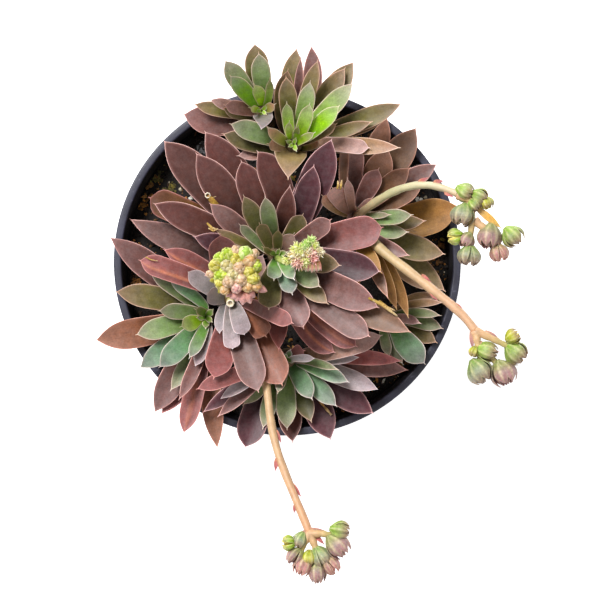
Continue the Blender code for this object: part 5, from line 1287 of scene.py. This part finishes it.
def spray(skin, spot, out, radius, tones, hollow, key):
    """A tuft of fine pointed sepals, some with a brown hollow in the middle."""
    start = spot - out * 1.1 * radius * MM
    ways = facing(out, 30, 1.05)
    if hollow:
        ways = ways[9:]
        finger(skin, start - out * MM, out, 1.0 + 1.1 * radius, 0.34 * radius, ((96, 60, 26), (120, 76, 34), (140, 92, 44)), 0.6)
    finger(skin, start - out * 2.4 * MM, out, 2.8 + 1.1 * radius, 0.4 * radius, tones, 0.7)
    for k, way in enumerate(ways):
        finger(skin, start, way, radius * (1.25 + 0.25 * luck(key, k)), 0.12 * radius + 0.06, tones, 0.9)


def spiky_head(name, height, bud_skin):
    """The small head in the middle rosette: tufts of fine pointed sepals, and a pink fringe."""
    skin = Skin(name + "_look")
    root = seen_at(np.array([7.0, 2.8]), np.asarray(height - 7.0, float))
    for k, (x, y, radius, tone, hollow) in enumerate(SPIKES):
        away = np.hypot(x - 7.0, y - 2.8) / 9.5
        spot = seen_at(np.array([x, y]), np.asarray(height - 1.0 + 2.0 * (1 - away**2), float))
        out = (spot - root) / np.linalg.norm(spot - root)
        spray(skin, spot, out, radius, BUD_TONES[tone], hollow, f"{name}{k}")
    for k in range(13):
        x = 8.0 + 0.5 * k
        start = seen_at(np.array([x, 0.4]), np.asarray(height - 0.6, float))
        end = seen_at(np.array([x + 0.12 * (k - 6), -4.6 + 0.12 * abs(k - 6) + 0.4 * luck(name, k)]), np.asarray(height - 2.4, float))
        tone = ("spike_rose", "spike_cream", "spike_pink")[k % 3]
        finger(skin, start, end - start, np.linalg.norm(end - start) / MM, 0.36, BUD_TONES[tone], 0.8)
    for way in facing((0.0, 0.0, 1.0), 16, 1.6):
        finger(skin, root, way, 6.4, 1.5, ((120, 100, 34), (156, 140, 60), (190, 176, 96)), 0.7)
    ride(skin.made(bud_skin), name)


def stalk_path(piece):
    """A laid stalk's middle line in metres."""
    return seen_at(piece["line"], piece["height"] - piece["half"])


def stalk(name, laid, base, stalk_skin, leaf_skin):
    """A flower stalk with its small red bracts."""
    piece = laid[name]
    skin = Skin(name + "_look")
    path = stalk_path(piece)
    s = piece["s"]
    fine = np.linspace(0, 1, 70)
    path = np.stack([np.interp(fine, s, column) for column in path.T], 1)
    for _ in range(3):
        path[1:-1] = 0.25 * path[:-2] + 0.5 * path[1:-1] + 0.25 * path[2:]
    radius = np.interp(fine, s, piece["half"]) * (1 + 0.05 * np.sin(fine * 31 + 2 * luck(name))) * MM
    tone = blended(STALK_TONES[name], (0.0, 0.35, 0.75, 1.0), fine)
    skin.add_rings(tube_rings(path, radius, 18, 6, 0.03), tone=np.repeat(tone[:, None], 18, 1))
    for row in BRACTS:
        if row[0] == name:
            add_bract(skin, row, piece)
    ride(skin.made(stalk_skin, leaf_skin), name)


def add_bract(skin, row, piece, surface=1, tone="red"):
    """A small fleshy leaf that hugs a stalk, or stands at a fork of its head when the surface is 2."""
    _, root_x, root_y, tip_x, tip_y, width = row
    nearest = int(np.argmin(np.hypot(*(piece["line"] - (root_x, root_y)).T)))
    level = piece["height"][nearest] - piece["half"][nearest]
    s = np.linspace(0, 1, 16)
    root, tip = np.array([root_x, root_y]), np.array([tip_x, tip_y])
    middle = piece["line"][nearest] if surface == 1 else root + 0.2 * (root - tip)
    line = evenly(np.array([root + 0.7 * (middle - root), root + 0.15 * (middle - root), tip + 0.25 * (root - tip)]), s)
    made = dict(s=s, line=line, side=sideways(line), half=0.36 * width * outline(s, 0.45, 0.6, 2.0))
    made["thick"] = 0.9 - 0.5 * s
    made["height"] = level + 0.3 + 0.8 * s
    rings, share, u, margin, half, under = leaf_rings(made, 0.0, None, 0.5)
    colour = blended(BRACT_TONES[tone], (0.1, 0.5, 1.0), share)
    skin.add_rings(
        rings,
        surface=surface,
        tone=np.repeat(colour[:, None], AROUND, 1),
        rim_tone=linear(226, 160, 140),
        margin=margin[..., None] + 0.25,
        across=(u * half[:, None])[..., None],
        under=under[..., None],
        wax=0.1,
    )


def branched_head(name, laid, bud_skin, stalk_skin, leaf_skin):
    """The head of an arching stalk: forked branches with a bud at each end."""
    skin = Skin(name.replace("stalk", "flowers") + "_look")
    piece = laid[name]
    level = piece["height"][-1]
    for points in BRANCHES[name]:
        s = np.linspace(0, 1, 24)
        line = np.array(points, float)
        for _ in range(2):
            line = np.concatenate([line[:1], 0.5 * (line[:-1] + line[1:]), line[-1:]])
        rise = level - 1.3 + 1.0 * np.sin(pi * s)
        radius = (1.45 + 0.5 * (1 - s) ** 3 - 0.4 * s + 0.08 * np.sin(26 * s)) * MM
        tone = blended(((200, 158, 122), (196, 162, 116), (168, 166, 96)), (0.0, 0.4, 1.0), s)
        path = seen_at(evenly(line, s), rise)
        skin.add_rings(tube_rings(path, radius, 14, 5, 0.05), surface=1, tone=np.repeat(tone[:, None], 14, 1))
    for row in HEAD_BRACTS:
        if row[0] == name:
            add_bract(skin, row[:6], piece, 2, row[6])
    for k, row in enumerate(TUFTS[name]):
        tuft(skin, row, level + 0.4 + 1.4 * luck(name, k), f"{name}{k}")
    ride(skin.made(bud_skin, stalk_skin, leaf_skin), name.replace("stalk", "flowers"))


def dry_straw(laid, dry_skin):
    """A thin straw that lies on the front leaves."""
    piece = laid["dry_straw"]
    skin = Skin("dry_straw_look")
    radius = piece["half"] * (0.8 + 0.2 * np.sin(piece["s"] * 19)) * MM
    tone = blended(((150, 84, 30), (206, 150, 84), (226, 200, 150)), (0.0, 0.5, 1.0), piece["s"])
    skin.add_rings(tube_rings(stalk_path(piece), radius, 12, 3, 0.2), tone=np.repeat(tone[:, None], 12, 1))
    ride(skin.made(dry_skin), "dry_straw")


def hollow_end(skin, path, radius, tones, hollow):
    """A broken stalk: a tube that ends in a pale ring round its pith. Path in metres, radius in mm."""
    run = path[-1] - path[-2]
    run /= np.linalg.norm(run)
    deep = np.array([0.25, 0.1, -0.3, -0.8])[:, None] * MM
    path = np.concatenate([path, path[-1] + run * deep])
    body = radius * np.ones(len(path) - 4)
    size = np.concatenate([body, radius * np.array([0.86, 0.62, 0.5, 0.3])])
    rings = tube_rings(path[: len(body)], body * MM, 18, 7, 0.06)
    last = rings[-1] - path[len(body) - 1]
    ends = [path[len(body) + k] + last * size[len(body) + k] / radius for k in range(4)]
    rings = np.concatenate([rings, ends])
    s = np.linspace(0, 1, len(body))
    # The cut's colours from rim to middle; the last, the pith at 0.6, is painted shade at the bottom of the hollow.
    cut = [linear(236, 226, 206), linear(220, 208, 184), linear(*hollow), 0.6 * linear(*hollow)]
    colour = np.concatenate([blended(tones, (0.0, 0.5, 1.0), s), cut])
    skin.add_rings(rings, tone=np.repeat(colour[:, None], 18, 1))


def dry_stub(laid, dry_skin):
    """A broken stalk among the leaves, yellow-brown, with a pale ring round its hollow end."""
    piece = laid["dry_stub"]
    skin = Skin("dry_stub_look")
    path = stalk_path(piece)
    path[:, 2] += np.linspace(0, 0.8, len(path)) * MM
    tone = blended(((110, 78, 14), (184, 146, 50), (150, 110, 40)), (0.0, 0.5, 1.0), piece["s"])
    radius = np.linspace(1.5, 1.0, len(path)) * MM
    skin.add_rings(tube_rings(path, radius, 14, 5, 0.1), tone=np.repeat(tone[:, None], 14, 1))
    upward = path[-1] + np.outer((-1.2, -0.4, 0.4, 1.2), (0.0, 0.0, MM))
    hollow_end(skin, upward, 1.25, ((130, 96, 40), (200, 180, 140), (226, 212, 186)), (60, 40, 26))
    ride(skin.made(dry_skin), "dry_stub")


def shreds(skin, top, surface):
    """Dry shreds and bracts caught on the leaves."""
    for k, (*points, radius, above) in enumerate(SHREDS):
        s = np.linspace(0, 1, 14)
        line = evenly(np.array(points, float), s)
        i, j = cells(line[:, 0], line[:, 1])
        height = top[i, j].max() + above + 0.5 * np.sin(pi * s)
        size = radius * (0.35 + 0.65 * np.sin(pi * (0.15 + 0.8 * s))) * MM
        tone = blended(((150, 124, 36), (190, 156, 84), (214, 190, 146)), (0.0, 0.5, 1.0), s)
        rings = tube_rings(seen_at(line, height), size, 10, 2, 0.35)
        skin.add_rings(rings, surface=surface, tone=np.repeat(tone[:, None], 10, 1))


def crumb_shapes():
    """Points and faces of a few rough stones of radius 1."""
    shapes = []
    for k, fineness in enumerate((2, 2, 1, 1, 1)):
        bm = bmesh.new()
        bmesh.ops.create_icosphere(bm, subdivisions=fineness, radius=1)
        for vert in bm.verts:
            vert.co *= 1 + 0.5 * noise.noise(vert.co * 1.6 + Vector((7.0 * k, 0, 0)))
        points = np.array([vert.co for vert in bm.verts])
        faces = np.array([[vert.index for vert in face.verts] for face in bm.faces])
        bm.free()
        shapes.append((points, faces))
    return shapes


CRUMB_TONES = (
    ((34, 24, 18), 0.4), ((60, 42, 28), 0.2), ((96, 64, 34), 0.12), ((176, 116, 52), 0.08), ((214, 156, 84), 0.05),
    ((140, 124, 50), 0.06), ((176, 164, 140), 0.03), ((16, 13, 14), 0.06),
)
PERLITE = (232, 228, 216)
# Bark and grit that show between the leaves: plan, how wide the patch is, and tone
PATCHES = (
    (-62, 33, 5, (206, 146, 76)), (-58, 38, 4, (120, 110, 52)), (-64, 26, 4, (206, 140, 60)), (-66, 4, 4, (190, 124, 60)), (-51, 32, 4, (120, 108, 46)), (-67, -8, 3, (170, 110, 50)),
    (51, -43, 4, (150, 96, 50)), (34, -54, 3, (150, 104, 52)), (66, 6, 5, (140, 92, 40)), (62, -2, 5, (120, 84, 38)),
    (56, 22, 5, (150, 96, 40)), (-38, 49, 3, (110, 110, 112)), (-44, 41, 4, (120, 84, 50)), (48, -50, 4, (110, 78, 40)),
)
WHITE_SPECKS = ((70.6, 1.7), (70.2, -0.4), (-40, 48), (-22.5, -61.8), (-23.2, -63.0), (63.5, -8.0), (66.2, 4.6))


def soil_top(x, y):
    """Height of the potting mix at a point, in mm above the pot's underside."""
    spot = Vector((x, y, 0)) * 0.09
    return RIM_Z - SOIL_DEPTH - 1.2 + 1.3 * noise.noise(spot) + 0.5 * noise.noise(spot * 4)


def soil(soil_skin, box):
    """The potting mix: an uneven body that fills the pot, with crumbs, bark and perlite on top."""
    low, high = (np.array(corner) / MM for corner in box)
    skin = Skin("soil_look")
    wide, foot = 0.5 * (high[0] - low[0]), low[2]
    narrow = wide - 15.6
    wide = RIM_RADIUS - LIP_WIDTH - 1.0
    profile = [(narrow * k / 3, foot) for k in (1, 2, 3)]
    profile += [(narrow + (wide - narrow) * k / 4, foot + (RIM_Z - SOIL_DEPTH - 1.6 - foot) * k / 4) for k in (1, 2, 3, 4)]
    profile += [(wide * (1 - k / 40), None) for k in range(1, 40)]
    corners = 132
    turn = -2 * pi * np.arange(corners) / corners
    rings = np.zeros((len(profile), corners, 3))
    for k, (radius, height) in enumerate(profile):
        rings[k, :, 0] = radius * np.cos(turn)
        rings[k, :, 1] = radius * np.sin(turn)
        rings[k, :, 2] = [soil_top(*spot) for spot in rings[k, :, :2]] if height is None else height
    skin.add_rings(rings * MM, tone=linear(26, 20, 17))
    chance = np.random.default_rng(7)
    shapes = crumb_shapes()
    shares = np.cumsum([share for _, share in CRUMB_TONES])
    for k in range(3600):
        x, y = scattered(chance, wide - 0.8)
        tone = CRUMB_TONES[int(np.searchsorted(shares, chance.random() * shares[-1]))][0]
        size = 0.35 + 0.9 * chance.random() ** 3
        crumb(skin, shapes[2 + k % 3], chance, x, y, size, tone)
    for x, y, spread, tone in PATCHES:
        for k in range(22):
            size = 0.35 + 0.75 * chance.random() ** 2
            near = (x, y) + chance.normal(0, 0.5 * spread, 2)
            crumb(skin, shapes[k % 2], chance, *near, size, np.array(tone) * (0.58 + 0.5 * chance.random()))
    for x, y in WHITE_SPECKS:
        crumb(skin, shapes[0], chance, x, y, 0.8, PERLITE)
    for k in range(26):
        x, y = scattered(chance, wide - 3)
        crumb(skin, shapes[k % 2], chance, x, y, 0.5 + 0.7 * chance.random(), PERLITE)
    ride(skin.made(soil_skin), "soil")


def scattered(chance, reach):
    """A random point on a disc."""
    radius = reach * chance.random() ** 0.5
    turn = 2 * pi * chance.random()
    return radius * cos(turn), radius * sin(turn)


def crumb(skin, shape, chance, x, y, size, tone):
    """One grain of the mix, half sunk in it."""
    points, faces = shape
    if np.hypot(x, y) > 69.8:
        return
    turn = 2 * pi * chance.random()
    stretch = size * (0.7 + 0.6 * chance.random(3)) * (1.25, 0.9, 0.7)
    flat = points * stretch
    spun = np.stack([flat[:, 0] * cos(turn) - flat[:, 1] * sin(turn), flat[:, 0] * sin(turn) + flat[:, 1] * cos(turn), flat[:, 2]], 1)
    skin.add((spun + (x, y, soil_top(x, y) + 0.2 * size)) * MM, faces, tone=linear(*tone))


# Pot, in mm
POT_FOOT_RADIUS = 54.0
POT_WALL_TOP_RADIUS = 72.4
POT_WALL = 1.6
POT_FLOOR = 2.4
POT_LIP_DEPTH = 9.0
LIP_WIDTH = 3.4
DRAIN_HOLES = 6
DRAIN_HOLE_RADIUS = 4.5
DRAIN_CIRCLE_RADIUS = 38.0


def rounded(corner, before, after, radius, steps=5):
    """Points of an arc that rounds a corner of a profile."""
    corner, before, after = (np.array(p, float) for p in (corner, before, after))
    to_before = (before - corner) / np.hypot(*(before - corner))
    to_after = (after - corner) / np.hypot(*(after - corner))
    first, last = corner + to_before * radius, corner + to_after * radius
    t = np.linspace(0, 1, steps)[:, None]
    return ((1 - t) ** 2 * first + 2 * t * (1 - t) * corner + t**2 * last).tolist()


def pot(pot_skin, inner_shade_skin):
    """The pot: tapered wall, flat floor with drain holes, and a stout lip with soft edges."""
    inner_top = RIM_RADIUS - LIP_WIDTH
    lip_foot = RIM_Z - POT_LIP_DEPTH
    corners = (
        ((POT_FOOT_RADIUS, 0.0), 1.6), ((POT_WALL_TOP_RADIUS, lip_foot), 0.5), ((RIM_RADIUS, lip_foot + 0.4), 0.7),
        ((RIM_RADIUS, RIM_Z), 0.9), ((inner_top, RIM_Z), 0.8), ((inner_top - 0.6, RIM_Z - 13.0), 1.0),
        ((POT_FOOT_RADIUS - POT_WALL, POT_FLOOR), 1.2),
    )
    spots = [(0.0, 0.0)] + [spot for spot, _ in corners] + [(0.0, POT_FLOOR)]
    profile = [(0.0, 0.0)]
    for k, (spot, radius) in enumerate(corners, 1):
        profile += rounded(spot, spots[k - 1], spots[k + 1], radius)
    profile.append((0.0, POT_FLOOR))
    mesh = bpy.data.meshes.new("pot_look")
    edges = [(k, k + 1) for k in range(len(profile) - 1)]
    mesh.from_pydata([(r * MM, 0, z * MM) for r, z in profile], edges, [])
    obj = bpy.data.objects.new("pot_look", mesh)
    bpy.context.scene.collection.objects.link(obj)
    screw = obj.modifiers.new("turned", "SCREW")
    screw.steps = screw.render_steps = 240
    screw.use_merge_vertices = True
    screw.merge_threshold = 0.00001
    screw.use_smooth_shade = True
    holes = obj.modifiers.new("drain_holes", "BOOLEAN")
    holes.operation = "DIFFERENCE"
    holes.object = drain_cutters()
    obj.data.materials.append(pot_skin)
    depsgraph = bpy.context.evaluated_depsgraph_get()
    finished = bpy.data.meshes.new_from_object(obj.evaluated_get(depsgraph))
    bpy.data.objects.remove(holes.object)
    obj.modifiers.clear()
    obj.data = finished
    finished.shade_smooth()
    finished.set_sharp_from_angle(angle=0.7)
    finished.materials.append(inner_shade_skin)
    # Faces of the inner wall below the rim and of the inside floor take the near-black finish: painted shade inside the
    # pot.
    for face in finished.polygons:
        x, y, z = face.center
        inward = face.normal.x * x + face.normal.y * y < 0 and np.hypot(x, y) > POT_FOOT_RADIUS * 0.8 * MM
        face.material_index = int((inward or face.normal.z > 0.5) and z < (RIM_Z - 0.9) * MM)
    ride(obj, "pot")


def drain_cutters():
    """One mesh of upright cylinders, where the drain holes go."""
    bm = bmesh.new()
    radius = DRAIN_HOLE_RADIUS * MM
    for k in range(DRAIN_HOLES):
        turn = 2 * pi * k / DRAIN_HOLES
        made = bmesh.ops.create_cone(bm, cap_ends=True, segments=40, radius1=radius, radius2=radius, depth=8 * MM)
        shift = Vector((cos(turn), sin(turn), 0.0)) * DRAIN_CIRCLE_RADIUS * MM
        bmesh.ops.translate(bm, verts=made["verts"], vec=shift)
    mesh = bpy.data.meshes.new("drain_cutters")
    bm.to_mesh(mesh)
    bm.free()
    obj = bpy.data.objects.new("drain_cutters", mesh)
    bpy.context.scene.collection.objects.link(obj)
    return obj


def floor():
    """A plain pale floor, with the faintest grain."""
    look = Finish("floor_paper")
    grain = look.noise(30, 4)
    colour = look.mix(look.fade(grain, 0.3, 0.7), rgba(250, 250, 250), rgba(254, 254, 254))
    look.shade(Base_Color=colour, Roughness=0.9, Emission_Color=(1.0, 1.0, 1.0, 1.0), Emission_Strength=0.75)
    bm = bmesh.new()
    bmesh.ops.create_grid(bm, x_segments=8, y_segments=8, size=4.0)
    mesh = bpy.data.meshes.new("floor")
    bm.to_mesh(mesh)
    bm.free()
    obj = bpy.data.objects.new("floor", mesh)
    mesh.materials.append(look.material)
    bpy.context.scene.collection.objects.link(obj)


def light():
    """Soft even light from a white room, and a broad lamp from the photo's upper left."""
    world = bpy.data.worlds.new("studio")
    world.use_nodes = True
    background = world.node_tree.nodes["Background"]
    background.inputs["Color"].default_value = (1.0, 1.0, 1.0, 1.0)
    background.inputs["Strength"].default_value = 0.34
    bpy.context.scene.world = world
    for name, spot, size, power in (
        ("key_lamp", (-0.6, 0.75, 1.3), 0.55, 36.0),
        ("fill_lamp", (0.7, -0.5, 1.3), 1.0, 4.0),
    ):
        lamp = bpy.data.lights.new(name, "AREA")
        lamp.size = size
        lamp.energy = power
        obj = bpy.data.objects.new(name, lamp)
        obj.location = spot
        obj.rotation_euler = (Vector((0, 0, 0.1)) - obj.location).to_track_quat("-Z", "Y").to_euler()
        bpy.context.scene.collection.objects.link(obj)
    bpy.context.scene.view_settings.view_transform = "Standard"


def camera():
    """Straight above, at the photo's viewing angle, with the photo's top toward +Y."""
    sensor, seen_at_rim = 36.0, 258.8
    data = bpy.data.cameras.new("camera")
    data.sensor_width = sensor
    data.lens = CAMERA_ABOVE_RIM * sensor / seen_at_rim
    data.clip_start = 0.01
    obj = bpy.data.objects.new("camera", data)
    obj.location = (CAMERA_X * MM, CAMERA_Y * MM, (RIM_Z + CAMERA_ABOVE_RIM) * MM)
    bpy.context.scene.collection.objects.link(obj)
    bpy.context.scene.camera = obj


def build():
    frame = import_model()
    nodes = frame["nodes"]
    laid, base, top = settle()
    leaf_skin, stalk_skin, bud_skin, dry_skin = leaf_finish(), stalk_finish(), bud_finish(), dry_finish()
    skins = (leaf_skin, stem_finish(), stalk_skin, dry_skin)
    for name in HEARTS:
        rosette(name, laid, base, top, skins, nodes)
    for name in STALKS:
        stalk(name, laid, base, stalk_skin, leaf_skin)
    for name in TUFTS:
        branched_head(name, laid, bud_skin, stalk_skin, leaf_skin)
    dome_head("flowers_mid", laid["stalk_mid"]["height"][-1] + 6.0, bud_skin)
    spiky_head("flowers_crown", laid["stalk_crown"]["height"][-1] + 5.0, bud_skin)
    dry_straw(laid, dry_skin)
    dry_stub(laid, dry_skin)
    soil(soil_finish(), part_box("soil"))
    pot(pot_finish(), pot_inner_finish())
    floor()
    light()
    camera()


build()
